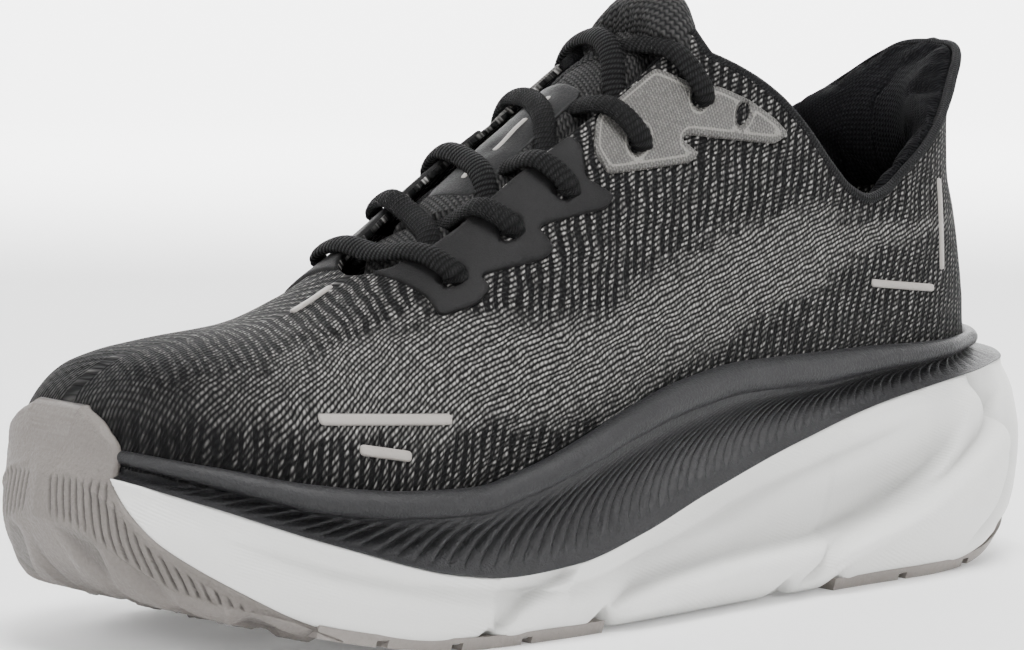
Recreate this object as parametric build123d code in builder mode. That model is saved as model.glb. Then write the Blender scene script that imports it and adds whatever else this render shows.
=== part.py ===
"""Running shoe, left foot, size about EU 42: one cushioned road shoe taken apart into its real pieces.

Frame: millimetres, toe towards -Y, heel towards +Y, outer (lateral) side towards +X, up is +Z.
The origin is on the ground, at the middle of the shoe's outer box.
"""
import math
import os

from build123d import *

# ---------------------------------------------------------------- driving dimensions
LENGTH = 300.0          # toe tip to heel tip of the sole
HALF = LENGTH / 2
SHELL = 1.6             # knitted upper
COUNTER = 1.3           # heel counter and toe puff board
FOAM = 5.0              # collar padding
LINING = 0.9            # collar lining
BOARD = 1.5             # strobel board under the foot
SOCK = 4.2              # removable sockliner
RUBBER = 3.2            # outsole pads
TOE_WRAP = 2.4          # toe guard rubber
FOAM_RECESS = 1.2       # bare foam stands this far above the ground
LEVELLING = 0.05        # the pads' round undersides are cut flat by this much where they stand
OVERLAY = 1.1           # eyestay film over the knit
MARK = 0.5              # small reflective trims
BOND = 0.04             # glue line between bonded layers
PIPING = 2.4            # edge binding of the collar

CORD_RADIUS = 2.1       # lace
EYELET_RADIUS = 3.0
EYELET_OFFSET = 25.5    # eyelet centres, from the middle of the throat
EYELET_Y = [-55.5, -38.5, -21.5, 1.5, 22.5]
SPARE_EYELET = (33.5, 29.5)   # y and offset of the free top eyelet
CORD_OVER, CORD_UNDER = 4.0, -4.2   # lace axis above and below the upper's skin
TONGUE_OUT, TONGUE_IN = 8.0, 12.6
TONGUE_HALF = 19.5
RING = 12               # points along each side of a level outline

TOE_Y, HEEL_REF_Y, HEEL_WIDTH_Y = -144.0, 88.0, 110.0
TOE_FADE_FROM, TOE_FADE_LENGTH = -112.0, 30.0


def curve(points):
    """Smooth monotone curve through a few (position, value) points."""
    xs = [p[0] for p in points]
    ys = [p[1] for p in points]
    steps = [(ys[i + 1] - ys[i]) / (xs[i + 1] - xs[i]) for i in range(len(xs) - 1)]
    slopes = [steps[0]]
    for left, right in zip(steps, steps[1:]):
        slopes.append(0 if left * right <= 0 else 2 * left * right / (left + right))
    slopes.append(steps[-1])

    def value(x):
        x = min(max(x, xs[0]), xs[-1])
        i = max(k for k in range(len(xs) - 1) if xs[k] <= x)
        width = xs[i + 1] - xs[i]
        t = (x - xs[i]) / width
        rise = (1 + 2 * t) * (1 - t) ** 2 * ys[i] + t * t * (3 - 2 * t) * ys[i + 1]
        return rise + width * (t * (1 - t) ** 2 * slopes[i] - t * t * (1 - t) * slopes[i + 1])

    return value


# ---------------------------------------------------------------- the shoe's lines, along its length
SOLE_HALF = curve([(-150, 0), (-147, 17.5), (-140, 31), (-127, 42.5), (-107, 51), (-78, 55.5), (-42, 55.2),
                   (0, 50.2), (40, 46.3), (80, 45.5), (110, 45), (130, 39), (142, 27), (148, 14), (150, 0)])
SOLE_MID = curve([(-150, -13), (-140, -9), (-127, -6.5), (-107, -4), (-78, -1), (-42, 1.8), (0, 4.2),
                  (40, 3.8), (80, 1.5), (110, 1), (130, 0), (150, 0)])
UPPER_HALF = curve([(-144, 0), (-142.5, 14.5), (-136, 27), (-124, 38), (-102, 46), (-75, 49.7), (-42, 49),
                    (0, 43.8), (40, 40), (80, 38), (110, 37)])
UPPER_MID = curve([(-144, -13), (-136, -10), (-124, -7), (-102, -3.5), (-75, -0.8), (-42, 2), (0, 3.8),
                   (40, 3.5), (80, 1.5), (110, 0.5)])
RIDGE = curve([(-144, 36), (-141, 54), (-135, 63), (-124, 69), (-110, 72.5), (-92, 76), (-72, 83), (-52, 96),
               (-30, 113), (0, 134), (25, 152.5), (45, 168), (70, 190), (100, 200), (145, 205)])
FOOTBED = curve([(-144, 31), (-110, 27), (-70, 25), (-30, 26), (0, 29), (40, 33), (80, 36), (140, 37)])
ROUND_TOP = curve([(-144, 3.2), (-100, 3), (-60, 2.6), (0, 2.3), (140, 2.3)])
ROUND_SIDE = curve([(-144, 2.4), (-100, 2.3), (-60, 2.2), (0, 2), (140, 2)])
FOAM_TOP = curve([(-150, 46), (-136, 40.5), (-107, 29), (-78, 19.7), (-62, 17.8), (-45, 19), (-22, 24.5),
                  (2, 32), (37, 41), (65, 47), (92, 50.8), (120, 54), (150, 56)])
FRAME_TOP = curve([(-150, 50.5), (-131, 46.5), (-112, 42.3), (-89, 39.5), (-70, 39), (-53, 42.5), (-37, 47.7),
                   (-20, 53.2), (4, 58.7), (30, 61.5), (68, 61.5), (110, 61), (150, 61.5)])
THROAT_HALF = curve([(-67, 0), (-64, 8), (-58, 13), (-45, 15.5), (-10, 16.5), (25, 17.5), (45, 19), (80, 20)])
COUNTER_TOP = curve([(58, 38), (72, 60), (92, 80), (120, 86), (150, 87)])
FOAM_BASE = curve([(50, 104), (60, 90), (75, 80), (110, 80), (150, 82)])
GROUND = curve([(-150, 32), (-138, 16.5), (-122, 11), (-101, 5), (-80, 1.4), (-62, 0), (92, 0), (112, 1),
                (128, 4.5), (140, 10), (150, 24)])
COLLAR = curve([(14, 143), (26, 139), (37, 133.5), (46, 127), (53, 119.5), (61, 109.5), (68, 103), (75, 100.3),
                (82, 102), (90, 107), (100, 113), (110, 119.5), (120, 127), (130, 134.5), (136, 138), (150, 139)])

# ---------------------------------------------------------------- and up its height
HEEL_BACK = curve([(15, 133), (45, 133.5), (60, 130.5), (80, 128.5), (95, 126), (106, 123.5), (118, 124.5),
                   (128, 129), (136, 135), (141, 138)])
SIDE_INSET = curve([(0, 7), (8, 3.5), (20, 0.6), (32, 0), (45, 1.2), (56, 4), (66, 6)])
HEEL_INSET = curve([(0, 12), (8, 6), (20, 1.5), (30, 0), (45, 2.5), (56, 8), (66, 12)])
TOE_INSET = curve([(0, 8), (20, 3), (32, 0), (45, 1.5), (52, 4), (66, 5)])


def toe_fade(y):
    return min(max((TOE_FADE_FROM - y) / TOE_FADE_LENGTH, 0), 1)


def ridge(y, inset):
    fade = toe_fade(y)
    return RIDGE(y - inset * fade) - inset * (1.3 - fade)


def half_width(y, inset):
    y = min(y, HEEL_WIDTH_Y)
    return UPPER_HALF(y - inset * toe_fade(y)) * (1 - inset / 48)


def arch(y, z, inset):
    """How full the upper's cross-section is at this height, from 1 at the footbed to 0 at the ridge."""
    rise = (z - FOOTBED(y)) / (ridge(y, inset) - FOOTBED(y))
    rise = min(max(rise, 0), 1)
    return (1 - rise ** ROUND_TOP(y)) ** (1 / ROUND_SIDE(y))


def heel_round(y, z, inset):
    along = (y - HEEL_REF_Y) / (HEEL_BACK(z) - inset - HEEL_REF_Y)
    along = min(max(along, 0), 1)
    return (1 - along ** 2.4) ** (1 / 2.4)


def front_of(z, inset):
    """Where the upper's ridge line passes this height."""
    low, high = TOE_Y + inset, HEEL_REF_Y
    for _ in range(40):
        middle = (low + high) / 2
        if ridge(middle, inset) < z:
            low = middle
        else:
            high = middle
    return low


def on_upper(y, offset, lift):
    """A point beside the throat: offset is measured across from its middle line, lift along the normal."""

    def skin(py, po):
        full = abs(po) / half_width(py, 0)
        rise = (1 - full ** ROUND_SIDE(py)) ** (1 / ROUND_TOP(py))
        height = FOOTBED(py) + (ridge(py, 0) - FOOTBED(py)) * rise
        return Vector(UPPER_MID(py) + po, py, height)

    step = 0.5
    along = skin(y + step, offset) - skin(y - step, offset)
    across = skin(y, offset + step) - skin(y, offset - step)
    normal = across.cross(along).normalized()
    return skin(y, offset) + normal * lift


def upper_outline(z, inset):
    front = front_of(z, inset)
    back = HEEL_BACK(z) - inset
    sides = []
    for side in (1, -1):
        for i in range(1, RING):
            y = front + (back - front) * (1 - math.cos(math.pi * i / RING)) / 2
            reach = half_width(y, inset) * arch(y, z, inset) * heel_round(y, z, inset)
            sides.append((UPPER_MID(min(y, HEEL_WIDTH_Y)) + side * reach, y))
    lateral, medial = sides[:RING - 1], sides[RING - 1:]
    nose = (UPPER_MID(front), front)
    tail = (UPPER_MID(HEEL_WIDTH_Y), back)
    return [nose] + lateral + [tail] + medial[::-1]


def sole_outline(z, inset):
    toe = -HALF + TOE_INSET(z) + inset
    heel = HALF - HEEL_INSET(z) - inset
    sides = []
    for side in (1, -1):
        for i in range(1, RING):
            t = (1 - math.cos(math.pi * i / RING)) / 2
            full_y = -HALF + LENGTH * t
            reach = SOLE_HALF(full_y) * (1 - (SIDE_INSET(z) + inset) / 52)
            sides.append((SOLE_MID(full_y) + side * reach, toe + (heel - toe) * t))
    lateral, medial = sides[:RING - 1], sides[RING - 1:]
    return [(SOLE_MID(-HALF), toe)] + lateral + [(SOLE_MID(HALF), heel)] + medial[::-1]


def level_loft(outline, levels, inset):
    """A closed volume lofted through level outlines."""
    steps = [i / (2 * RING) for i in range(2 * RING + 1)]
    with BuildPart(mode=Mode.PRIVATE) as body:
        for z in levels:
            with BuildSketch(Plane.XY.offset(z)):
                with BuildLine():
                    add(Edge.make_spline([Vector(x, y) for x, y in outline(z, inset)], periodic=True,
                                         parameters=steps))
                make_face()
        loft()
    return body.part


UPPER_LEVELS = [15, 25, 33, 40, 46, 52, 57, 61, 65, 69, 73, 78, 85, 93, 102, 111, 120, 130, 141, 152, 164, 177]
SOLE_LEVELS = [-1, 4, 10, 18, 26, 34, 42, 50, 58, 66]
VOLUMES = {}


def last(inset):
    """The foot-shaped volume whose skin lies this far inside the upper's outer face."""
    if inset not in VOLUMES:
        VOLUMES[inset] = level_loft(upper_outline, UPPER_LEVELS, inset)
    return VOLUMES[inset]


def side_slab(low, high, span=(-170, 170), width=(-80, 80), points=36):
    """The space between two lines along the shoe, through its whole width."""
    start, stop = span
    ys = [start + (stop - start) * i / (points - 1) for i in range(points)]
    with BuildPart(mode=Mode.PRIVATE) as slab:
        with BuildSketch(Plane.YZ.offset(width[0])):
            with BuildLine():
                floor = Spline([(y, low(y)) for y in ys])
                roof = Spline([(y, high(y)) for y in ys])
                Line(floor @ 0, roof @ 0)
                Line(floor @ 1, roof @ 1)
            make_face()
        extrude(amount=width[1] - width[0])
    return slab.part


def side_shape(points, width):
    """A straight-sided outline seen from the side, cut through part of the width."""
    with BuildPart(mode=Mode.PRIVATE) as block:
        with BuildSketch(Plane.YZ.offset(width[0])):
            with BuildLine():
                Polyline(*points, close=True)
            make_face()
        extrude(amount=width[1] - width[0])
    return block.part


def between(outer, inner):
    """The layer between two nested skins of the upper."""
    with BuildPart(mode=Mode.PRIVATE) as layer:
        add(last(outer))
        add(last(inner), mode=Mode.SUBTRACT)
    return layer.part


def level(height):
    return lambda y: height


def raised(line, amount):
    return lambda y: line(y) + amount


def save(piece, name):
    piece.part.label = name
    export_step(piece.part, f"parts/{name}.step")
    print(f"{name:26s}{len(piece.part.solids()):3d} solids {piece.part.volume / 1000:9.3f} cm3")


os.makedirs("parts", exist_ok=True)
SIDES = {"lateral": 1, "medial": -1}

# ---------------------------------------------------------------- shared volumes
sole = level_loft(sole_outline, SOLE_LEVELS, 0)
sole_core = level_loft(sole_outline, SOLE_LEVELS, TOE_WRAP)
foot_floor = raised(FOOTBED, -BOARD - BOND)

with BuildPart() as foot_space:
    add(last(-BOND))
    add(side_slab(foot_floor, level(190)), mode=Mode.INTERSECT)

# Toe guard, seen from the side: it sweeps from the tread up to a tab over the toe.
TOE_GUARD_SIDE = [(-165, -5), (-112, -5), (-117, 12), (-126, 23), (-135, 30), (-140, 36), (-142, 43), (-138, 55),
                  (-165, 55)]
TOE_TAB_SIDE = [(-165, 45), (-139.5, 45), (-137.5, 59), (-165, 61)]
TOE_TIE = 44.0

# ---------------------------------------------------------------- outsole
with BuildPart() as tread:
    add(sole)
    add(side_slab(raised(GROUND, -LEVELLING), raised(GROUND, RUBBER)), mode=Mode.INTERSECT)
    with Locations((0, 0, -10)):
        Box(200, 400, 20, mode=Mode.SUBTRACT)

with BuildPart() as toe_core:
    add(sole_core)
    add(side_slab(raised(GROUND, RUBBER), level(TOE_TIE), span=(-170, -80)), mode=Mode.INTERSECT)

with BuildPart() as toe_tab:
    add(last(-TOE_WRAP))
    add(side_shape(TOE_TAB_SIDE, (-80, 80)), mode=Mode.INTERSECT)

with BuildPart() as outsole_toe:
    add(sole)
    add(side_slab(GROUND, FRAME_TOP), mode=Mode.INTERSECT)
    add(side_shape(TOE_GUARD_SIDE, (-80, 80)), mode=Mode.INTERSECT)
    add(toe_tab.part)
    add(toe_core.part, mode=Mode.SUBTRACT)
    add(foot_space.part, mode=Mode.SUBTRACT)
save(outsole_toe, "outsole_toe")

# Each pad: its outline seen from above, where its flex grooves cross it.
PADS = {
    "forefoot_lateral": ([(14, -108), (80, -108), (80, -28), (32, -28), (16, -50)], [-92, -72, -52]),
    "forefoot_medial": ([(-18, -108), (-80, -108), (-80, -36), (-34, -36), (-18, -60)], [-92, -72, -52]),
    "forefoot_center": ([(-13, -108), (9, -108), (11, -52), (0, -42), (-13, -52)], [-92, -72]),
    "heel_lateral": ([(25, 58), (80, 58), (80, 160), (7, 160), (7, 128), (18, 114)], [84, 110]),
    "heel_medial": ([(-25, 66), (-80, 66), (-80, 160), (-7, 160), (-7, 128), (-18, 114)], [90, 112]),
}
FLEX_GROOVE = 3.0       # width across the shoe's length
FLEX_DEPTH = 1.8
pockets = []
for name, (plan, groove_ys) in PADS.items():
    with BuildPart() as pocket:
        with BuildSketch(Plane.XY.offset(-5)):
            Polygon(*plan, align=None)
        extrude(amount=60)
        fillet(pocket.edges().filter_by(Axis.Z), 3)
        add(tread.part, mode=Mode.INTERSECT)
    pockets.append(pocket.part)
    with BuildPart() as pad:
        add(pocket.part)
        for y in groove_ys:
            with Locations((0, y, GROUND(y) + FLEX_DEPTH - 5)):
                Box(200, FLEX_GROOVE, 10, mode=Mode.SUBTRACT)
    save(pad, f"outsole_{name}")

# ---------------------------------------------------------------- midsole
HEEL_NOTCH_RADIUS = 10.0
NOTCH_RISE = 4.5        # shallow arch notch under the outer waist
with BuildPart() as midsole:
    add(sole)
    add(side_slab(raised(GROUND, FOAM_RECESS), FOAM_TOP), mode=Mode.INTERSECT)
    add(foot_space.part, mode=Mode.SUBTRACT)
    add(outsole_toe.part, mode=Mode.SUBTRACT)
    for pocket_part in pockets:
        add(pocket_part, mode=Mode.SUBTRACT)
    with Locations((0, HALF + 6, 30)):
        Cylinder(HEEL_NOTCH_RADIUS, 90, mode=Mode.SUBTRACT)
    with Locations((0, -14, NOTCH_RISE - 10)):
        Cylinder(10, 200, rotation=(0, 90, 0), mode=Mode.SUBTRACT)
save(midsole, "midsole")

with BuildPart() as midsole_frame:
    add(sole)
    add(side_slab(raised(FOAM_TOP, BOND), FRAME_TOP), mode=Mode.INTERSECT)
    add(foot_space.part, mode=Mode.SUBTRACT)
    add(outsole_toe.part, mode=Mode.SUBTRACT)
save(midsole_frame, "midsole_frame")

with BuildPart() as strobel_board:
    add(last(0))
    add(side_slab(raised(FOOTBED, -BOARD), raised(FOOTBED, -BOND)), mode=Mode.INTERSECT)
save(strobel_board, "strobel_board")

SOCK_INSET, SOCK_END = 3.8, 121.0
with BuildPart() as sockliner:
    add(last(SOCK_INSET))
    add(side_slab(raised(FOOTBED, 0.3), raised(FOOTBED, 0.3 + SOCK)), mode=Mode.INTERSECT)
    with Locations((0, SOCK_END + 20, 50)):
        Box(160, 40, 100, mode=Mode.SUBTRACT)
save(sockliner, "sockliner")

# ---------------------------------------------------------------- upper
with BuildPart() as throat:
    lace_ys = [-67, -66, -64, -58, -45, -25, 0, 25, 45, 80]
    with BuildSketch(Plane.XY.offset(50)):
        with BuildLine():
            rim = Spline([(UPPER_MID(y) + THROAT_HALF(y), y) for y in lace_ys[:0:-1]]
                         + [(UPPER_MID(-67), -67)]
                         + [(UPPER_MID(y) - THROAT_HALF(y), y) for y in lace_ys[1:]])
            Line(rim @ 0, rim @ 1)
        make_face()
    extrude(amount=150)


def eyelet_cut(offset, y):
    """A round hole square to the upper's skin."""
    centre = on_upper(y, offset, 0)
    normal = (on_upper(y, offset, 1) - centre).normalized()
    with BuildPart(mode=Mode.PRIVATE) as hole:
        with BuildSketch(Plane(centre, z_dir=normal)):
            Circle(EYELET_RADIUS)
        extrude(amount=6, both=True)
    return hole.part


eyelets = [eyelet_cut(side * EYELET_OFFSET, y) for side in SIDES.values() for y in EYELET_Y]
eyelets += [eyelet_cut(side * SPARE_EYELET[1], SPARE_EYELET[0]) for side in SIDES.values()]

with BuildPart() as upper_shell:
    add(between(0, SHELL))
    add(side_slab(FOOTBED, raised(COLLAR, -PIPING)), mode=Mode.INTERSECT)
    add(throat.part, mode=Mode.SUBTRACT)
    for hole_part in eyelets:
        add(hole_part, mode=Mode.SUBTRACT)
save(upper_shell, "upper_shell")

with BuildPart() as toe_puff:
    add(between(SHELL + BOND, SHELL + COUNTER))
    add(side_slab(FOOTBED, level(120)), mode=Mode.INTERSECT)
    with Locations((0, -116 + 150, 60)):
        Box(160, 300, 200, mode=Mode.SUBTRACT)
save(toe_puff, "toe_puff")

with BuildPart() as heel_counter:
    add(between(SHELL + BOND, SHELL + COUNTER))
    add(side_slab(FOOTBED, COUNTER_TOP), mode=Mode.INTERSECT)
    with Locations((0, 62 - 150, 60)):
        Box(160, 300, 200, mode=Mode.SUBTRACT)
save(heel_counter, "heel_counter")

FOAM_INSET = SHELL + COUNTER + 2 * BOND
FOAM_FRONT = 50.0
with BuildPart() as collar_foam:
    add(between(FOAM_INSET, FOAM_INSET + FOAM))
    add(side_slab(FOAM_BASE, raised(COLLAR, -PIPING)), mode=Mode.INTERSECT)
    with Locations((0, FOAM_FRONT - 150, 60)):
        Box(160, 300, 300, mode=Mode.SUBTRACT)
save(collar_foam, "collar_foam")

LINING_INSET = FOAM_INSET + FOAM + BOND
with BuildPart() as collar_lining:
    add(between(LINING_INSET, LINING_INSET + LINING))
    add(side_slab(raised(FOAM_BASE, -5), raised(COLLAR, -PIPING)), mode=Mode.INTERSECT)
    with Locations((0, FOAM_FRONT - 150, 60)):
        Box(160, 300, 300, mode=Mode.SUBTRACT)
save(collar_lining, "collar_lining")

BINDING_START = 26.0
with BuildPart() as narrow_binding:
    add(between(-0.4, SHELL + 0.6))
    with Locations((0, BINDING_START - 150, 60)):
        Box(160, 300, 300, mode=Mode.SUBTRACT)

with BuildPart() as collar_binding:
    add(between(-0.4, LINING_INSET + LINING + 0.4))
    with Locations((0, FOAM_FRONT - 150, 60)):
        Box(160, 300, 300, mode=Mode.SUBTRACT)
    add(narrow_binding.part)
    add(side_slab(raised(COLLAR, BOND - PIPING), COLLAR), mode=Mode.INTERSECT)
    add(throat.part, mode=Mode.SUBTRACT)
save(collar_binding, "collar_binding")

# ---------------------------------------------------------------- overlays, seen from the side
FRONT_STAY = [(-67, 74), (-60, 79), (-54.5, 80.5), (-49.5, 84), (-50, 87), (-43, 88.5), (-35, 90.5), (-31, 93),
              (-32, 98.5), (-14, 101.5), (-10, 104.5), (-15.5, 109), (-9.5, 115), (-8, 119), (7, 126),
              (20, 131.5), (30, 131), (34, 136), (34, 160), (-67, 160)]
TOP_STAY = [(-9, 115.5), (-10, 110), (14.5, 111.5), (16.5, 114), (13.5, 117.5), (17, 118.3), (42, 116),
            (46, 118.5), (43, 123), (36, 131), (30, 140), (-9, 140)]
with BuildPart() as stay_layer:
    add(between(-OVERLAY, -BOND))
    add(side_slab(FOOTBED, raised(COLLAR, -PIPING)), mode=Mode.INTERSECT)
    add(throat.part, mode=Mode.SUBTRACT)
    for hole_part in eyelets:
        add(hole_part, mode=Mode.SUBTRACT)

for name, side in SIDES.items():
    reach = (0, 80) if side > 0 else (-80, 0)
    with BuildPart() as front_stay:
        add(stay_layer.part)
        add(side_shape(FRONT_STAY, reach), mode=Mode.INTERSECT)
    save(front_stay, f"eyestay_{name}_front")
    with BuildPart() as top_stay:
        add(stay_layer.part)
        add(side_shape(TOP_STAY, reach), mode=Mode.INTERSECT)
        add(side_shape(FRONT_STAY, reach), mode=Mode.SUBTRACT)
    save(top_stay, f"eyestay_{name}_top")

FOREFOOT_BARS = [[(-104, 56), (-104, 58.6), (-70, 56.4), (-70, 53.8)],
                 [(-99, 50), (-97.5, 52.6), (-84, 48.4), (-85.5, 45.8)]]
HEEL_BARS = [[(66, 76.5), (66, 79), (95, 75.5), (95, 73)],
             [(97.5, 73), (100.5, 73), (103.5, 100), (101, 100)]]
with BuildPart() as mark_layer:
    add(between(-MARK, -BOND))
    add(side_slab(level(30), level(120)), mode=Mode.INTERSECT)

for name, bars in {"forefoot_marks": FOREFOOT_BARS, "heel_marks": HEEL_BARS}.items():
    with BuildPart() as marks:
        for bar in bars:
            add(side_shape(bar, (-80, 80)))
        add(mark_layer.part, mode=Mode.INTERSECT)
    save(marks, name)

with BuildPart() as vamp_mark:
    with BuildSketch(Plane.XY.offset(50)):
        with Locations(Location((UPPER_MID(-77), -77), 12)):
            SlotOverall(14, 3, rotation=90)
    extrude(amount=60)
    add(mark_layer.part, mode=Mode.INTERSECT)
save(vamp_mark, "vamp_mark")

# ---------------------------------------------------------------- tongue
ROLL_START = [(14, 163), (51, 119)]
ROLL_LENGTH = (10.8, 9.0)
with BuildPart() as tongue:
    with BuildSketch(Plane.YZ.offset(-TONGUE_HALF)):
        with BuildLine():
            Polyline((-73, 20), (-73, 150), ROLL_START[0], ROLL_START[1], (56, 20), close=True)
        make_face()
    extrude(amount=2 * TONGUE_HALF)
    add(between(TONGUE_OUT, TONGUE_IN), mode=Mode.INTERSECT)
save(tongue, "tongue")

with BuildPart() as tongue_top:
    with BuildSketch(Plane.YZ.offset(-TONGUE_HALF)):
        with BuildLine():
            Polyline(ROLL_START[0], ROLL_START[1],
                     (ROLL_START[1][0] + ROLL_LENGTH[0], ROLL_START[1][1] + ROLL_LENGTH[1]),
                     (ROLL_START[0][0] + ROLL_LENGTH[0], ROLL_START[0][1] + ROLL_LENGTH[1]), close=True)
        make_face()
    extrude(amount=2 * TONGUE_HALF)
    add(between(4.5, 13.0), mode=Mode.INTERSECT)
save(tongue_top, "tongue_top")

with BuildPart() as tongue_label:
    with BuildSketch(Plane.XY.offset(50)):
        with Locations((UPPER_MID(-18), -18)):
            RectangleRounded(15, 38, 4)
    extrude(amount=150)
    add(between(TONGUE_OUT - 0.9, TONGUE_OUT - BOND), mode=Mode.INTERSECT)
save(tongue_label, "tongue_label")

# ---------------------------------------------------------------- lace


def crossing(side, row, over):
    """From under one eyelet, up through the throat, and over into the next eyelet of the other side."""
    here = EYELET_Y[row]
    step = EYELET_Y[row + 1] - here
    rise, crest = (4.4, 5.6) if over else (-1.6, 2.0)
    edge = THROAT_HALF(here + step / 2)
    return [
        (here, side * EYELET_OFFSET, CORD_UNDER),
        (here + 0.12 * step, side * (edge - 3), CORD_UNDER),
        (here + 0.38 * step, side * 5.5, rise),
        (here + 0.62 * step, -side * 6.5, crest),
        (here + 0.88 * step, -side * (edge + 1), CORD_OVER + 0.4),
        (here + step, -side * EYELET_OFFSET, CORD_OVER),
    ]


def half_lace(side):
    """From the straight bar at the bottom, in at the first eyelet and up to the tucked end."""
    route = [(EYELET_Y[0] - 1.2, side * 16, CORD_OVER + 0.2), (EYELET_Y[0], side * EYELET_OFFSET, CORD_OVER)]
    here = side
    for row in range(len(EYELET_Y) - 1):
        route += crossing(here, row, over=(row % 2 == 0) == (side > 0))
        here = -here
    route += [(EYELET_Y[-1], here * EYELET_OFFSET, CORD_UNDER),
              (EYELET_Y[-1] + 2.5, here * 15, CORD_UNDER - 0.1)]
    return route


stations = half_lace(-1)[::-1] + [(EYELET_Y[0] - 3.4, 0, CORD_OVER - 0.6)] + half_lace(1)
lace_points = [on_upper(*station) for station in stations]
lace_radii = []
for before, here, after in zip(lace_points, lace_points[1:], lace_points[2:]):
    turn = math.radians((here - before).get_angle(after - here))
    shorter = min((here - before).length, (after - here).length)
    lace_radii.append(min(0.45 * shorter / math.tan(turn / 2), 80))
print("lace radii", [round(r, 1) for r in lace_radii])

with BuildPart() as lace:
    with BuildLine():
        lace_path = FilletPolyline(*lace_points, radius=lace_radii)
    with BuildSketch(Plane(lace_path @ 0, z_dir=lace_path % 0)):
        Circle(CORD_RADIUS)
    sweep()
print("lace length", round(lace_path.length, 1), "volume against section times length",
      round(lace.part.volume / (math.pi * CORD_RADIUS ** 2 * lace_path.length), 4))
save(lace, "lace")
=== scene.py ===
"""Looks of the running shoe. Lengths here are millimetres; meshes are scaled to metres as they are made."""
import math

import bmesh
import bpy
import numpy as np
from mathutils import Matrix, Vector
from mathutils.geometry import delaunay_2d_cdt
from mathutils.kdtree import KDTree


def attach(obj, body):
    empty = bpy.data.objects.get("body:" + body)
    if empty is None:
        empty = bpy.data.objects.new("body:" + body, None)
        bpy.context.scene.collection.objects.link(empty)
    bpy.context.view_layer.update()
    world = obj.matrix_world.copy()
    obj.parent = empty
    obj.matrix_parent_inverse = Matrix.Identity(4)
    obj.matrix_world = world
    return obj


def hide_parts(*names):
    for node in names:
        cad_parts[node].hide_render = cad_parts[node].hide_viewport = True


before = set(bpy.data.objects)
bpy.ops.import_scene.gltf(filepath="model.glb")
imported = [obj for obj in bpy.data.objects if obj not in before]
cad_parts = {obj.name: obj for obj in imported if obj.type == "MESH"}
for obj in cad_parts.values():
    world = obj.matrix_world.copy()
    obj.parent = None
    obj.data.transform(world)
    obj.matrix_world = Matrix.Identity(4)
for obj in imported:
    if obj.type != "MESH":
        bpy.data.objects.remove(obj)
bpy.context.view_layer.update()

MM = 0.001
LENGTH = 300.0
HALF = LENGTH / 2
SOLE_FLARE = 52.0
TOE_Y, HEEL_REF_Y, HEEL_WIDTH_Y = -144.0, 88.0, 110.0


# ---------------------------------------------------------------- lines of the shoe, as in the CAD
def curve(points):
    """Smooth monotone curve through a few (position, value) points."""
    xs = np.array([p[0] for p in points], float)
    ys = np.array([p[1] for p in points], float)
    steps = np.diff(ys) / np.diff(xs)
    slopes = np.zeros(len(xs))
    slopes[0], slopes[-1] = steps[0], steps[-1]
    product = steps[:-1] * steps[1:]
    total = steps[:-1] + steps[1:]
    safe = np.where(total == 0, 1, total)
    slopes[1:-1] = np.where(product > 0, 2 * product / safe, 0)

    def value(x):
        x = np.clip(np.asarray(x, float), xs[0], xs[-1])
        i = np.clip(np.searchsorted(xs, x, side="right") - 1, 0, len(xs) - 2)
        width = xs[i + 1] - xs[i]
        t = (x - xs[i]) / width
        rise = (1 + 2 * t) * (1 - t) ** 2 * ys[i] + t * t * (3 - 2 * t) * ys[i + 1]
        return rise + width * (t * (1 - t) ** 2 * slopes[i] - t * t * (1 - t) * slopes[i + 1])

    return value


SOLE_HALF = curve([(-150, 0), (-147, 17.5), (-140, 31), (-127, 42.5), (-107, 51), (-78, 55.5), (-42, 55.2),
                   (0, 50.2), (40, 46.3), (80, 45.5), (110, 45), (130, 39), (142, 27), (148, 14), (150, 0)])
SOLE_MID = curve([(-150, -13), (-140, -9), (-127, -6.5), (-107, -4), (-78, -1), (-42, 1.8), (0, 4.2),
                  (40, 3.8), (80, 1.5), (110, 1), (130, 0), (150, 0)])
UPPER_HALF = curve([(-144, 0), (-142.8, 17), (-137, 29), (-124, 39), (-102, 46.3), (-75, 49.7), (-42, 49),
                    (0, 43.8), (40, 40), (80, 38), (110, 37)])
UPPER_MID = curve([(-144, -13), (-136, -10), (-124, -7), (-102, -3.5), (-75, -0.8), (-42, 2), (0, 3.8),
                   (40, 3.5), (80, 1.5), (110, 0.5)])
RIDGE = curve([(-144, 36), (-142.6, 55), (-138.5, 63.5), (-129, 70), (-112, 73.5), (-92, 76), (-72, 83),
               (-52, 96), (-30, 113), (0, 134), (25, 152.5), (45, 168), (70, 190), (100, 200), (145, 205)])
FOOTBED = curve([(-144, 31), (-110, 27), (-70, 25), (-30, 26), (0, 29), (40, 33), (80, 36), (140, 37)])
ROUND_TOP = curve([(-144, 3.8), (-120, 3.4), (-100, 3), (-60, 2.6), (0, 2.3), (140, 2.3)])
ROUND_SIDE = curve([(-144, 2.9), (-120, 2.6), (-100, 2.3), (-60, 2.2), (0, 2), (140, 2)])
FOAM_TOP = curve([(-150, 46), (-136, 40.5), (-107, 29), (-78, 19.7), (-62, 17.8), (-45, 19), (-22, 24.5),
                  (2, 32), (37, 41), (65, 47), (92, 50.8), (120, 54), (150, 56)])
FRAME_TOP = curve([(-150, 50.5), (-131, 46.5), (-112, 42.3), (-89, 39.5), (-70, 39), (-53, 42.5),
                   (-37, 47.7), (-20, 53.2), (4, 58.7), (30, 61.5), (68, 61.5), (110, 61), (150, 61.5)])
THROAT_HALF = curve([(-67, 0), (-64, 8), (-58, 13), (-45, 15.5), (-10, 16.5), (25, 17.5), (45, 19),
                     (80, 20)])
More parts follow.
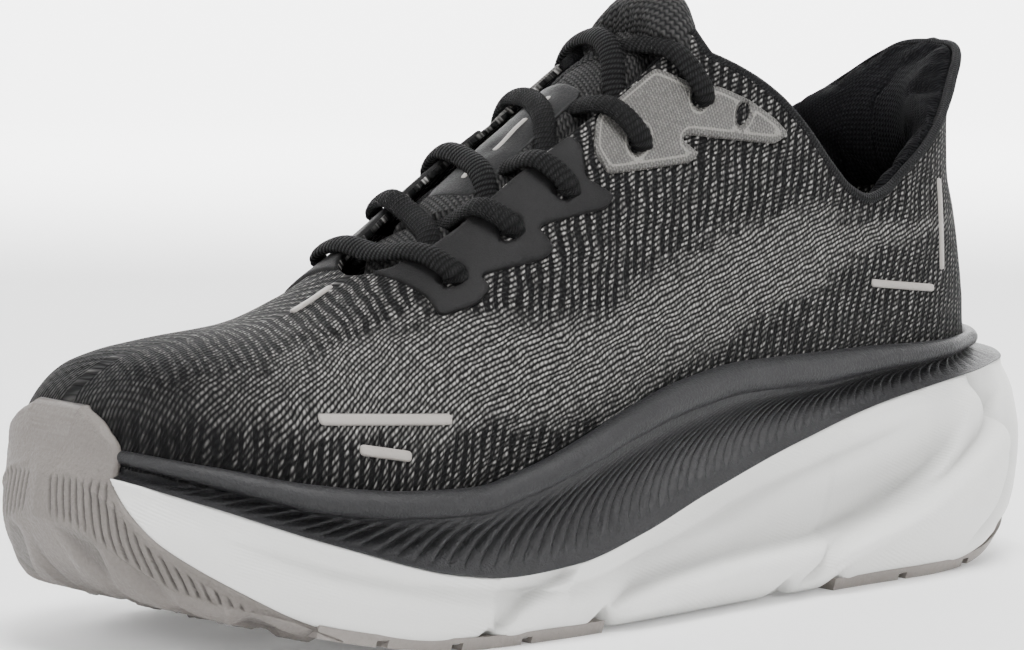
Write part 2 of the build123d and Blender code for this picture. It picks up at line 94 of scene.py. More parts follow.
GROUND = curve([(-150, 32), (-138, 16.5), (-122, 11), (-101, 5), (-80, 1.4), (-62, 0), (92, 0), (112, 1),
                (128, 4.5), (140, 10), (150, 24)])
COLLAR = curve([(14, 143), (26, 139), (37, 133.5), (46, 127), (53, 119.5), (61, 109.5), (68, 103),
                (75, 100.3), (82, 102), (90, 107), (100, 113), (110, 119.5), (120, 127), (130, 134.5),
                (136, 138), (150, 139)])
HEEL_BACK = curve([(15, 133), (45, 133.5), (60, 130.5), (80, 128.5), (95, 126), (106, 123.5), (118, 124.5),
                   (128, 129), (136, 135), (141, 138)])
SIDE_INSET = curve([(0, 7), (8, 3.5), (20, 0.6), (32, 0), (45, 1.2), (56, 4), (66, 6)])
HEEL_INSET = curve([(0, 12), (8, 6), (20, 1.5), (30, 0), (45, 2.5), (56, 8), (66, 12)])
TOE_INSET = curve([(0, 8), (20, 3), (32, 0), (45, 1.5), (52, 4), (66, 5)])
EYELET_Y = [-55.5, -38.5, -21.5, 1.5, 22.5]
EYELET_OFFSET = 25.5
SPARE_EYELET = (33.5, 29.5)


def smooth(x, low, high):
    t = np.clip((np.asarray(x, float) - low) / (high - low), 0, 1)
    return t * t * (3 - 2 * t)


def toe_fade(y):
    return np.clip((-112.0 - y) / 30.0, 0, 1)


def ridge(y, inset=0.0):
    fade = toe_fade(y)
    return RIDGE(y - inset * fade) - inset * (1.3 - fade)


def half_width(y, inset=0.0):
    y = np.minimum(y, HEEL_WIDTH_Y)
    return UPPER_HALF(y - inset * toe_fade(y)) * (1 - inset / 48)


def arch(y, z, inset=0.0):
    rise = np.clip((z - FOOTBED(y)) / (ridge(y, inset) - FOOTBED(y)), 0, 1)
    return np.clip(1 - rise ** ROUND_TOP(y), 0, 1) ** (1 / ROUND_SIDE(y))


def heel_round(y, z, inset=0.0):
    along = np.clip((y - HEEL_REF_Y) / (HEEL_BACK(z) - inset - HEEL_REF_Y), 0, 1)
    return np.clip(1 - along ** 2.4, 0, 1) ** (1 / 2.4)


_ys = np.linspace(TOE_Y, HEEL_REF_Y, 3000)
_ridge = RIDGE(_ys)


def front_of(z):
    """Where the upper's ridge line passes this height."""
    return np.interp(z, _ridge, _ys)


def on_level(theta, z, inset=0.0):
    """A point of the upper's skin at height z; theta is 0 at the toe and pi at the heel, by the outer side."""
    theta = np.mod(theta, 2 * np.pi)
    side = np.where(theta <= np.pi, 1.0, -1.0)
    front = front_of(z) + inset
    back = HEEL_BACK(z) - inset
    y = front + (back - front) * (1 - np.cos(theta)) / 2
    reach = half_width(y, inset) * arch(y, z, inset) * heel_round(y, z, inset)
    return np.stack([UPPER_MID(np.minimum(y, HEEL_WIDTH_Y)) + side * reach, y, z + 0 * y], -1)


def on_top(y, offset):
    """A point of the upper's skin beside the throat, offset measured across from its middle line."""
    full = np.clip(np.abs(offset) / half_width(y), 0, 0.999)
    rise = (1 - full ** ROUND_SIDE(y)) ** (1 / ROUND_TOP(y))
    height = FOOTBED(y) + (ridge(y) - FOOTBED(y)) * rise
    return np.stack([UPPER_MID(y) + offset, y + 0 * offset, height], -1)


def unit(v):
    return v / np.maximum(np.linalg.norm(v, axis=-1, keepdims=True), 1e-9)


def lifted(y, offset, lift):
    """A point a little above the skin beside the throat, along its normal."""
    y, offset = np.broadcast_arrays(np.asarray(y, float), np.asarray(offset, float))
    along = on_top(y + 0.5, offset) - on_top(y - 0.5, offset)
    across = on_top(y, offset + 0.5) - on_top(y, offset - 0.5)
    return on_top(y, offset) + unit(np.cross(across, along)) * np.asarray(lift)[..., None]


def on_side(y, z, side, lift=0.0):
    """A point of the upper's side wall, seen from the side."""
    y, z = np.broadcast_arrays(np.asarray(y, float), np.asarray(z, float))

    def skin(py, pz):
        reach = half_width(py) * arch(py, pz) * heel_round(py, pz)
        return np.stack([UPPER_MID(np.minimum(py, HEEL_WIDTH_Y)) + side * reach, py, pz], -1)

    along = skin(y + 0.3, z) - skin(y - 0.3, z)
    up = skin(y, z + 0.3) - skin(y, z - 0.3)
    return skin(y, z) + unit(np.cross(along, up)) * side * np.asarray(lift)[..., None]


# ---------------------------------------------------------------- mesh tools
def make_mesh(name, verts, faces, body, material, smooth_shade=True):
    """verts in millimetres; faces is an (n, 4) array, a triangle repeating its last corner."""
    mesh = bpy.data.meshes.new(name)
    verts = np.asarray(verts, float).reshape(-1, 3)
    mesh.from_pydata([tuple(v) for v in verts * MM], [],
                     [tuple(dict.fromkeys(int(i) for i in f)) for f in faces])
    mesh.validate(verbose=False)
    mesh.polygons.foreach_set("use_smooth", [smooth_shade] * len(mesh.polygons))
    piece = bpy.data.objects.new(name, mesh)
    bpy.context.scene.collection.objects.link(piece)
    mesh.materials.append(material)
    if body:
        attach(piece, body)
    return piece


def grid_faces(rows, columns, wrap_columns=False, wrap_rows=False):
    r = np.arange(rows if wrap_rows else rows - 1)
    c = np.arange(columns if wrap_columns else columns - 1)
    r, c = np.meshgrid(r, c, indexing="ij")
    r2, c2 = (r + 1) % rows, (c + 1) % columns
    quads = np.stack([r * columns + c, r * columns + c2, r2 * columns + c2, r2 * columns + c], -1)
    return quads.reshape(-1, 4)


def caps(rows, columns, first=True, last=True):
    """Closes the first and last rows of a tube with fans round an added middle point."""
    faces, extra = [], rows * columns
    for wanted, row, flip in ((first, 0, True), (last, rows - 1, False)):
        if wanted:
            for c in range(columns):
                a, b = row * columns + c, row * columns + (c + 1) % columns
                faces.append((b, a, extra, extra) if flip else (a, b, extra, extra))
            extra += 1
    return faces


def tube_grid(points):
    """Vertices and faces of a closed-round tube of rings, capped at both ends."""
    rows, columns = points.shape[:2]
    verts = np.concatenate([points.reshape(-1, 3), points[0].mean(0)[None], points[-1].mean(0)[None]])
    faces = list(map(tuple, grid_faces(rows, columns, wrap_columns=True))) + caps(rows, columns)
    return verts, faces


def add_attribute(piece, name, values, kind="FLOAT_VECTOR"):
    layer = piece.data.attributes.new(name, kind, "POINT")
    key = "vector" if kind == "FLOAT_VECTOR" else "value"
    layer.data.foreach_set(key, np.asarray(values, np.float32).ravel())


def add_weave(piece, along, up, cap_points=2):
    """Cloth coordinates over a grid of vertices, and zeros for the middle points of a tube's caps."""
    along, up = np.broadcast_arrays(along, up)
    weave = np.stack([along, up, 0 * up], -1).reshape(-1, 3)
    add_attribute(piece, "weave", np.concatenate([weave, np.zeros((cap_points, 3))]))


def grid_normals(points, wrap=False):
    along = np.gradient(points, axis=1)
    if wrap:
        along[:, 0] = points[:, 1] - points[:, -1]
        along[:, -1] = points[:, 0] - points[:, -2]
    return unit(np.cross(np.gradient(points, axis=0), along))


def wave_noise(x, y, seed, octaves=3):
    """Smooth seeded value noise of two coordinates, about -1 to 1."""
    rng = np.random.default_rng(seed)
    table = rng.uniform(-1, 1, (64, 64))
    total, weight, scale = 0, 0, 1.0
    for k in range(octaves):
        px, py = x * scale + 17.3 * k, y * scale + 5.1 * k
        ix, iy = np.floor(px).astype(int), np.floor(py).astype(int)
        fx, fy = px - ix, py - iy
        fx, fy = fx * fx * (3 - 2 * fx), fy * fy * (3 - 2 * fy)
        get = lambda a, b: table[a % 64, b % 64]
        value = (get(ix, iy) * (1 - fx) + get(ix + 1, iy) * fx) * (1 - fy)
        value = value + (get(ix, iy + 1) * (1 - fx) + get(ix + 1, iy + 1) * fx) * fy
        total = total + value / 2 ** k
        weight += 1 / 2 ** k
        scale *= 2
    return total / weight


# ---------------------------------------------------------------- camera, light and floor
CAMERA_AZIMUTH, CAMERA_ELEVATION, CAMERA_DISTANCE = math.radians(49.5), math.radians(6.5), 1050.0
CAMERA_LENS = 144.6
AIM_RIGHT, AIM_UP = -11.3, 9.3


def make_camera():
    back = Vector((math.sin(CAMERA_AZIMUTH) * math.cos(CAMERA_ELEVATION),
                   -math.cos(CAMERA_AZIMUTH) * math.cos(CAMERA_ELEVATION), math.sin(CAMERA_ELEVATION)))
    right = Vector((math.cos(CAMERA_AZIMUTH), math.sin(CAMERA_AZIMUTH), 0))
    place = Vector((0, 0, 60)) + back * CAMERA_DISTANCE
    target = Vector((0, 0, 60)) + right * AIM_RIGHT + back.cross(right) * AIM_UP
    data = bpy.data.cameras.new("camera")
    data.lens = CAMERA_LENS
    data.clip_start = 0.01
    data.clip_end = 100
    camera = bpy.data.objects.new("camera", data)
    bpy.context.scene.collection.objects.link(camera)
    camera.location = place * MM
    camera.rotation_euler = (target - place).to_track_quat("-Z", "Y").to_euler()
    bpy.context.scene.camera = camera


def make_light(name, place, size, power, target=(0, 0, 0.06)):
    data = bpy.data.lights.new(name, "AREA")
    data.shape = "RECTANGLE"
    data.size, data.size_y = size
    data.energy = power
    light = bpy.data.objects.new(name, data)
    bpy.context.scene.collection.objects.link(light)
    light.location = place
    light.rotation_euler = (Vector(target) - Vector(place)).to_track_quat("-Z", "Y").to_euler()


def make_stage():
    world = bpy.data.worlds.new("studio")
    world.use_nodes = True
    world.node_tree.nodes["Background"].inputs["Color"].default_value = (1, 1, 1, 1)
    world.node_tree.nodes["Background"].inputs["Strength"].default_value = 0.02
    bpy.context.scene.world = world
    material = bpy.data.materials.new("pale_floor")
    material.use_nodes = True
    shader = material.node_tree.nodes["Principled BSDF"]
    shader.inputs["Base Color"].default_value = (0.9, 0.9, 0.9, 1)
    shader.inputs["Roughness"].default_value = 0.9
    shader.inputs["Emission Color"].default_value = (1, 1, 1, 1)
    shader.inputs["Emission Strength"].default_value = 0.14
    reach, bend, around = 2200.0, 900.0, 96
    profile = [(1.0, 0.0), (reach / 2, 0.0)]
    for a in np.linspace(0, math.pi / 2, 24):
        profile.append((reach + bend * math.sin(a), bend - bend * math.cos(a)))
    profile += [(reach + bend, 4200.0)]
    turn = np.linspace(0, 2 * math.pi, around, endpoint=False)
    bowl = np.array([[(r * math.cos(a), r * math.sin(a), z) for a in turn] for r, z in profile])
    faces = list(map(tuple, grid_faces(len(profile), around, wrap_columns=True)))
    faces += caps(len(profile), around, last=False)
    verts = np.concatenate([bowl.reshape(-1, 3), [[0, 0, 0]]])
    floor = make_mesh("floor", verts, faces, None, material)
    away = Vector((-math.sin(CAMERA_AZIMUTH), math.cos(CAMERA_AZIMUTH), 0))
    up = Vector((0, 0, 1))
    make_light("wall", tuple(away * 1.3 + up * 1.3), (2.2, 0.5), 170, tuple(away * 3.1 + up * 0.7))
    make_light("top", (0.45, -0.15, 1.7), (0.8, 0.8), 44)
    make_light("key", (-0.3, -1.8, 1.1), (0.6, 0.6), 10)
    make_light("side", (1.9, 0.6, 0.9), (0.5, 0.8), 8)
    make_light("back", (-1.1, 1.2, 1.1), (0.8, 0.8), 10)


# ---------------------------------------------------------------- materials
def new_material(name, colour, roughness, **sockets):
    material = bpy.data.materials.new(name)
    material.use_nodes = True
    shader = material.node_tree.nodes["Principled BSDF"]
    shader.inputs["Base Color"].default_value = (*colour, 1)
    shader.inputs["Roughness"].default_value = roughness
    for key, value in sockets.items():
        shader.inputs[key.replace("_", " ")].default_value = value
    return material


class Nodes:
    """Short names for wiring a material's nodes."""

    def __init__(self, material):
        self.tree = material.node_tree
        self.shader = self.tree.nodes["Principled BSDF"]

    def link(self, value, socket):
        if isinstance(value, (int, float)):
            socket.default_value = value
        elif isinstance(value, tuple):
            socket.default_value = value if len(value) == len(socket.default_value) else (*value, 1)
        else:
            self.tree.links.new(value, socket)

    def math(self, operation, a, b=0.0, c=0.0, clamp=False):
        node = self.tree.nodes.new("ShaderNodeMath")
        node.operation = operation
        node.use_clamp = clamp
        for value, socket in zip((a, b, c), node.inputs):
            self.link(value, socket)
        return node.outputs[0]

    def times(self, a, b, clamp=False):
        return self.math("MULTIPLY", a, b, clamp=clamp)

    def plus(self, a, b, clamp=False):
        return self.math("ADD", a, b, clamp=clamp)

    def minus(self, a, b):
        return self.math("SUBTRACT", a, b)

    def scaled(self, value, factor, offset):
        return self.math("MULTIPLY_ADD", value, factor, offset)

    def attribute(self, name):
        node = self.tree.nodes.new("ShaderNodeAttribute")
        node.attribute_name = name
        return node

    def split(self, vector):
        node = self.tree.nodes.new("ShaderNodeSeparateXYZ")
        self.link(vector, node.inputs[0])
        return node.outputs[0], node.outputs[1], node.outputs[2]

    def join(self, x, y, z=0.0):
        node = self.tree.nodes.new("ShaderNodeCombineXYZ")
        for value, socket in zip((x, y, z), node.inputs):
            self.link(value, socket)
        return node.outputs[0]

    def position(self):
        return self.tree.nodes.new("ShaderNodeTexCoord").outputs["Object"]

    def noise(self, vector, scale, detail=2.0, roughness=0.5):
        node = self.tree.nodes.new("ShaderNodeTexNoise")
        self.link(vector, node.inputs["Vector"])
        node.inputs["Scale"].default_value = scale
        node.inputs["Detail"].default_value = detail
        node.inputs["Roughness"].default_value = roughness
        return node.outputs["Fac"]

    def mix(self, factor, a, b):
        node = self.tree.nodes.new("ShaderNodeMix")
        node.data_type = "RGBA"
        self.link(factor, node.inputs[0])
        self.link(a, node.inputs[6])
        self.link(b, node.inputs[7])
        return node.outputs[2]

    def ramp(self, value, low, high, out_low=0.0, out_high=1.0):
        node = self.tree.nodes.new("ShaderNodeMapRange")
        node.interpolation_type = "SMOOTHSTEP"
        self.link(value, node.inputs[0])
        for number, socket in zip((low, high, out_low, out_high), node.inputs[1:5]):
            self.link(number, socket)
        return node.outputs[0]

    def wave(self, value, period):
        """A smooth 0 to 1 ripple of this period."""
        turns = self.times(value, 2 * math.pi / period)
        return self.scaled(self.math("SINE", turns), 0.5, 0.5)

    def colour(self, value):
        self.link(value, self.shader.inputs["Base Color"])

    def roughness(self, value):
        self.link(value, self.shader.inputs["Roughness"])

    def bump(self, height, distance, strength=1.0):
        node = self.tree.nodes.new("ShaderNodeBump")
        node.inputs["Strength"].default_value = strength
        node.inputs["Distance"].default_value = distance
        self.link(height, node.inputs["Height"])
        self.tree.links.new(node.outputs[0], self.shader.inputs["Normal"])


def foam_material(name, colour, roughness, grain, grain_height, shade=0.08, speck=0.0, painted_shade=None, hatch=0.0):
    """Moulded foam or rubber: fine skin grain, soft cloudy tone, specks of sheen on a dark one, and painted
    shade where the given attribute is high.
    """
    material = new_material(name, colour, roughness)
    n = Nodes(material)
    place = n.position()
    cloud = n.noise(place, 45, 3)
    fine = n.noise(place, grain, 2, 0.6)
    dark = tuple(c * (1 - shade) for c in colour)
    light = tuple(min(1, c * (1 + shade) + speck) for c in colour)
    tint = n.mix(n.plus(n.times(cloud, 0.6), n.times(fine, 0.4)), dark, light)
    # painted shade: the colour is darkened toward a quarter of its base where the attribute is high
    if painted_shade:
        depth = n.times(n.attribute(painted_shade).outputs["Fac"], 0.75)
        tint = n.mix(depth, tint, tuple(c * 0.25 for c in colour))
    n.colour(tint)
    n.roughness(n.ramp(fine, 0.3, 0.7, roughness + 0.08, roughness - 0.08))
    height = n.times(fine, grain_height)
    if hatch:
        walk, up, _ = n.split(n.attribute("weave").outputs["Vector"])
        lines = n.wave(n.plus(up, n.times(walk, 0.35)), 0.9)
        patch = n.ramp(n.noise(n.join(n.times(walk, 0.03), n.times(up, 0.06)), 1.0, 1), 0.42, 0.58)
        height = n.plus(height, n.times(n.times(lines, patch), hatch))
    n.bump(height, 1.0)
    return material


def knit_material(name, dark, grey, tone=1.0):
    """Engineered knit: rows of slanted stitches, broken into raised ribs outside the fine zones."""
    material = new_material(name, dark, 0.82)
    n = Nodes(material)
    along, up, _ = n.split(n.attribute("weave").outputs["Vector"])
    zone = n.attribute("zone").outputs["Fac"]
    slope = math.radians(19)
    wobble = n.times(n.minus(n.noise(n.join(along, up), 0.12, 2), 0.5), 2.4)
    row = n.plus(n.minus(n.times(up, math.cos(slope)),
                               n.times(along, math.sin(slope))), wobble)
    run = n.plus(n.times(along, math.cos(slope)), n.times(up, math.sin(slope)))
    pitch, stitch = 1.15, 1.3
    course = n.wave(row, pitch)
    number = n.math("FLOOR", n.math("DIVIDE", n.plus(row, pitch / 4), pitch))
    shifted = n.plus(run, n.times(number, 0.62))
    loop = n.wave(n.minus(shifted, n.times(row, 0.55)), stitch)
    yarn = n.times(n.math("POWER", course, 1.5), n.scaled(n.math("POWER", loop, 0.8), 0.8, 0.2))
    rib_lean = n.minus(run, n.times(row, 0.75))
    rib_breaks = n.noise(n.join(n.times(rib_lean, 0.22), n.times(row, 0.1)), 1.0, 1)
    rib = n.wave(n.plus(rib_lean, n.times(rib_breaks, 3.4)), 3.3)
    rib_on = n.ramp(rib, 0.32, 0.72)
    per_stitch = n.noise(n.join(n.math("FLOOR", n.math("DIVIDE", shifted, stitch)), number), 0.9, 0)
    lively = n.ramp(per_stitch, 0.35, 0.68, 0.25, 1.0)
    amount_rib = n.times(n.times(yarn, lively), n.scaled(rib_on, 0.72, 0.03))
    amount_fine = n.times(yarn, n.scaled(lively, 0.62, 0.16))
    fine = n.times(amount_fine, zone)
    coarse = n.times(amount_rib, n.minus(1.0, zone))
    dimmer = n.attribute("dim").outputs["Fac"]
    amount = n.times(n.plus(fine, coarse), n.times(dimmer, tone), clamp=True)
    n.colour(n.mix(amount, dark, grey))
    relief = n.plus(n.times(yarn, 0.7),
                    n.times(rib_on, n.scaled(zone, -0.6, 0.7)))
    n.bump(relief, 0.0006, 0.9)
    material.node_tree.nodes["Principled BSDF"].inputs["Sheen Weight"].default_value = 0.02
    material.node_tree.nodes["Principled BSDF"].inputs["Sheen Roughness"].default_value = 0.5
    return material


def cloth_material(name, dark, light, pitch, relief=0.0003, roughness=0.85, slope=0.0, border=None):
    """A small even knit or weave, laid out by the piece's own coordinates."""
    material = new_material(name, dark, roughness)
    n = Nodes(material)
    u, v, inset = n.split(n.attribute("weave").outputs["Vector"])
    a = n.plus(u, n.times(v, slope))
    rows = n.wave(n.plus(a, n.times(n.wave(v, pitch * 1.2), pitch * 0.3)), pitch)
    stitches = n.wave(v, pitch * 1.2)
    yarn = n.times(n.math("POWER", rows, 0.7), n.scaled(stitches, 0.6, 0.4))
    fuzz = n.noise(n.join(n.times(u, 0.8), n.times(v, 0.8)), 1.0, 3)
    cover = n.times(yarn, n.ramp(fuzz, 0.25, 0.75, 0.35, 1.0))
    if border:
        starts = n.ramp(inset, border - 0.35, border - 0.15)
        line = n.times(starts, n.ramp(inset, border + 0.15, border + 0.35, 1.0, 0.0))
        cover = n.plus(cover, n.times(line, 0.7), clamp=True)
    n.colour(n.mix(cover, dark, light))
    n.bump(n.plus(yarn, n.times(fuzz, 0.4)), relief)
    return material


def cord_material(name, dark, light):
    """Woven cord: strands that cross its ribs."""
    material = new_material(name, dark, 0.78)
    n = Nodes(material)
    along, round_it, _ = n.split(n.attribute("weave").outputs["Vector"])
    rib = n.wave(along, 1.55)
    strand = n.wave(n.plus(round_it, n.times(along, 0.5)), 0.75)
    cover = n.times(n.math("POWER", rib, 0.6), n.scaled(strand, 0.7, 0.3))
    n.colour(n.mix(cover, dark, light))
    n.bump(cover, 0.00035)
    return material


def darken(material, specular):
    material.node_tree.nodes["Principled BSDF"].inputs["Specular IOR Level"].default_value = specular
    return material


# white foam and guard rubber take painted shade from their "shade" attribute
WHITE_FOAM = foam_material("white_foam", (0.72, 0.72, 0.70), 0.6, 1600, 0.00012, 0.03, 0.0, "shade", 0.00007)
BLACK_FOAM = darken(foam_material("black_foam", (0.010, 0.010, 0.011), 0.5, 1500, 0.0003, 0.25, 0.008), 0.3)
RUBBER = foam_material("beige_rubber", (0.22, 0.2, 0.184), 0.7, 1100, 0.0002, 0.08)
GUARD_RUBBER = foam_material("guard_rubber", (0.14, 0.126, 0.115), 0.62, 1100, 0.0003, 0.10, 0.0, "shade")
KNIT = darken(knit_material("knit", (0.0028, 0.0028, 0.003), (0.52, 0.505, 0.485)), 0.10)
LINING = darken(cloth_material("lining_cloth", (0.003, 0.003, 0.0035), (0.011, 0.011, 0.012), 1.1), 0.06)
PIPING_CLOTH = darken(cloth_material("piping_cloth", (0.004, 0.004, 0.0045), (0.02, 0.02, 0.021), 0.9), 0.2)
TONGUE_KNIT = darken(cloth_material("tongue_knit", (0.003, 0.003, 0.0035), (0.06, 0.059, 0.057), 1.15,
                                    0.0004, 0.85, 0.3), 0.15)
FILM = darken(foam_material("film", (0.0075, 0.0073, 0.0075), 0.65, 2600, 0.0001, 0.06), 0.16)
REFLECTIVE = cloth_material("reflective", (0.03, 0.0285, 0.027), (0.17, 0.163, 0.15), 0.8, 0.0002, 0.45,
                            border=1.5)
LABEL = darken(foam_material("label_skin", (0.006, 0.006, 0.0063), 0.55, 2000, 0.0001, 0.06), 0.2)
TRIM = foam_material("pale_trim", (0.27, 0.25, 0.23), 0.35, 1800, 0.0001, 0.06)
BLACK_CORD = darken(cord_material("cord", (0.001, 0.001, 0.0011), (0.013, 0.013, 0.0133)), 0.12)
SOCK_CLOTH = darken(foam_material("sock_cloth", (0.018, 0.018, 0.019), 0.9, 2500, 0.0003, 0.2), 0.1)
BOARD_CLOTH = darken(foam_material("board_cloth", (0.014, 0.014, 0.0145), 0.9, 1500, 0.0002, 0.1), 0.1)


# ---------------------------------------------------------------- the sole's outline
def sole_level(theta, z, inset=0.0):
    """A point of the sole's side at height z; theta as for the upper."""
    theta = np.mod(theta, 2 * np.pi)
    side = np.where(theta <= np.pi, 1.0, -1.0)
    t = (1 - np.cos(theta)) / 2
    toe = -HALF + TOE_INSET(z) + inset
    heel = HALF - HEEL_INSET(z) - inset
    full_y = -HALF + LENGTH * t
    reach = SOLE_HALF(full_y) * (1 - (SIDE_INSET(z) + inset) / SOLE_FLARE)
    return np.stack([SOLE_MID(full_y) + side * reach, toe + (heel - toe) * t, z + 0 * theta], -1)


# A count of places spaced evenly round the outline, and the distance walked to each.
_theta = np.linspace(0, 2 * np.pi, 8001)
_loop = sole_level(_theta, np.full(8001, 26.0))
_walk = np.concatenate([[0], np.cumsum(np.linalg.norm(np.diff(_loop, axis=0), axis=1))])
GIRTH = _walk[-1]


def theta_at(walk):
    return np.interp(np.mod(walk, GIRTH), _walk, _theta)


def walk_at(y, side=1):
    """Distance round the outline, from the toe, to where it passes y on one side."""
    theta = math.acos(1 - 2 * (np.clip(y, -HALF, HALF) + HALF) / LENGTH)
    walk = np.interp(theta, _theta, _walk)
    return walk if side > 0 else GIRTH - walk


def outline_normal(walk):
    a, b = sole_level(theta_at(walk - 0.5), 26 + 0 * walk), sole_level(theta_at(walk + 0.5), 26 + 0 * walk)
    d = unit(b - a)
    return np.stack([d[..., 1], -d[..., 0], 0 * d[..., 0]], -1)


def crease(walk, z, points, side, depth, above, below, bulge=0.0):
    """A moulded fold along a line on the sole's side: a valley, and a lobe that swells out below it."""
    line = np.array([(walk_at(y, side), pz) for y, pz in points])
    if line[0, 0] > line[-1, 0]:
        line = line[::-1]
    near = curve(line)(walk)
    slope = (curve(line)(walk + 0.5) - curve(line)(walk - 0.5))
    gap = (z - near) / np.sqrt(1 + slope ** 2)
    along = (walk - line[0, 0]) / (line[-1, 0] - line[0, 0])
    fade = smooth(along, 0, 0.12) * (1 - smooth(along, 0.88, 1))
    soft = np.sqrt(gap ** 2 + 0.16) - 0.4
    valley = -depth * np.where(gap > 0, np.exp(-soft / above), np.exp(-soft / below))
    lobe = bulge * np.exp(-((gap + 5) / 4.5) ** 2)
    return (valley + lobe) * fade


LIP_LINE = [(-134, 33), (-119, 26.6), (-105, 21.5), (-86, 17.3), (-64, 13.7), (-47, 12.6), (-27, 16),
            (1, 22.7), (30, 30.5), (60, 37), (90, 42)]
WAIST_FOLD = [(-67, 1), (-61.2, 7), (-55.6, 11.9), (-49.9, 14.6), (-42, 18.5)]
SWOOSH = [(-34, 2), (-22.6, 9), (-6, 12.3), (16, 14.2), (50, 15.6), (70.6, 19.4), (83.7, 24), (95.4, 31.4),
          (103.4, 40.8), (108, 50)]
HEEL_SWOOSH = [(44, 0), (50, 6), (54, 11.6), (60.3, 15.2), (74.4, 19), (90.2, 23.6), (105.2, 31.4),
               (118.3, 40.2), (127, 50)]
REAR_GROOVE = curve([(2, 108), (10, 117), (17, 124), (28, 127), (40, 120), (50, 112)])


def foam_swell(walk, y, z):
    """How far the white foam's side stands out or in, in millimetres."""
    lip = FOAM_TOP(y) - z
    out = 0.7 * np.exp(-(lip / 2.0) ** 2)
    out += -1.5 * np.exp(-((z - 27) / 9) ** 2) * smooth(y, -10, 20) * (1 - smooth(y, 80, 105))
    for side in (1, -1):
        out += crease(walk, z, LIP_LINE, side, 2.0, 1.0, 5, 0.9)
        out += crease(walk, z, WAIST_FOLD, side, 3.4, 6, 0.6, 1.4)
        out += crease(walk, z, SWOOSH, side, 5.0, 8, 0.6, 2.8)
        out += crease(walk, z, HEEL_SWOOSH, side, 4.4, 4.5, 0.6, 2.3)
        groove = walk - np.array([walk_at(v, side) for v in REAR_GROOVE(z)])
        groove = groove * side
        wall = np.where(groove < 0, np.exp(groove / 1.3), np.exp(-groove / 7))
        out += -3.6 * wall * smooth(z, 4, 14) * (y > 60)
    heel_gap = np.abs(walk - GIRTH / 2)
    out += -4.5 * np.exp(-(heel_gap / 5) ** 2) * smooth(z, 2, 14)
    return out


GUARD_TOP = curve([(0, 60.4), (5, 60.1), (9, 59.4), (13, 58), (16.5, 56), (19.5, 53), (22, 49), (23.8, 45),
                   (25.6, 41.8), (28, 38.8), (32, 34.8), (38, 29.6), (46, 24), (56, 18), (66, 12.5), (75, 8),
                   (80, 6)])


def behind_guard(walk, z):
    """1 where the sole's side lies behind the toe guard, 0 elsewhere."""
    away = np.minimum(walk, GIRTH - walk)
    return smooth(GUARD_TOP(away) - z, 0.2, 2.0) * (away < 80)


FOAM_EDGE = 2.4          # rounding of the foam's lower edge
FOAM_UNDER = 0.8
NOTCHES = [(-30, 5.5, 3.6), (41, 4.0, 3.2), (63, 3.0, 2.8), (-66, 3.4, 3.0)]
COLUMNS = 1150


def make_midsole():
    walk = np.linspace(0, GIRTH, COLUMNS, endpoint=False)
    theta = theta_at(walk)
    t = (1 - np.cos(theta)) / 2
    y0 = -HALF + LENGTH * t
    top = FOAM_TOP(y0)
    bottom = GROUND(y0) + FOAM_UNDER
    for notch_y, rise, width in NOTCHES:
        bottom = bottom + rise * np.exp(-((y0 - notch_y) / width) ** 2)
    normal = outline_normal(walk)
    rows = []
    for shrink in (0.02, 0.35, 0.7, 0.9):
        ring = sole_level(theta, top - 1.0)
        middle = np.stack([SOLE_MID(y0 * shrink), 0 * y0, top - 1.0], -1)
        middle[:, 2] = (top - 1.0) * shrink + 30 * (1 - shrink)
        ring = middle + (ring - middle) * [[shrink, shrink, 1]]
        ring[:, 2] = (top - 1.0) * shrink + 20 * (1 - shrink)
        rows.append(ring)
    side_rows = 74
    for v in np.linspace(0, 1, side_rows):
        z = top + (bottom - top) * v
        above = (z - bottom)
        below_round = np.maximum(FOAM_EDGE ** 2 - (FOAM_EDGE - above) ** 2, 0)
        edge = np.where(above < FOAM_EDGE, FOAM_EDGE - np.sqrt(below_round), 0)
        out = foam_swell(walk, y0, z) * smooth(above, 0, 4) * smooth(top - z, -0.5, 0.5)
        out = out - 1.8 * smooth(y0, 122, 140) * (1 - smooth(above, 3, 6.5))
        under_guard = behind_guard(walk, z)
        out = out * (1 - under_guard) - 2.4 * under_guard
        rows.append(sole_level(theta, z) + normal * (out - edge)[:, None])
    last_ring = rows[-1]
    for shrink in (0.9, 0.6, 0.3, 0.03):
        ring = last_ring.copy()
        ring[:, 0] = SOLE_MID(last_ring[:, 1]) + (last_ring[:, 0] - SOLE_MID(last_ring[:, 1])) * shrink
        ring[:, 1] = last_ring[:, 1] * (shrink * 0.03 + 0.97)
        ring[:, 2] = GROUND(ring[:, 1]) + FOAM_UNDER
        rows.append(ring)
    points = np.array(rows)
    verts, faces = tube_grid(points)
    piece = make_mesh("midsole_foam", verts, faces, "shoe", WHITE_FOAM)
    add_weave(piece, walk[None], points[..., 2])
    # painted shade: the foam is darkened in its fold valleys and along its lower edge by the ground
    folds = np.array([foam_swell(walk, y0, ring[:, 2]) for ring in points])
    low = 0.3 * (1 - smooth(points[..., 2] - GROUND(y0)[None], 0, 5))
    shade = np.maximum(np.clip(-folds / 8, 0, 0.45), low)
    add_attribute(piece, "shade", np.concatenate([shade.ravel(), np.zeros(2)]), "FLOAT")
    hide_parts("midsole")
    return piece


FLUTE_LEAN = curve([(-150, 10), (-90, 16), (-55, 12), (-25, 3), (80, 3), (150, 2)])
FLUTE_SWEEP = curve([(-150, 4), (-90, 6), (-55, 18), (-25, 42), (20, 58), (60, 44), (100, 26), (150, 14)])
FLUTE_PITCH = curve([(-150, 4.6), (-70, 4.4), (-20, 3.5), (40, 3.6), (100, 4.4), (150, 5)])


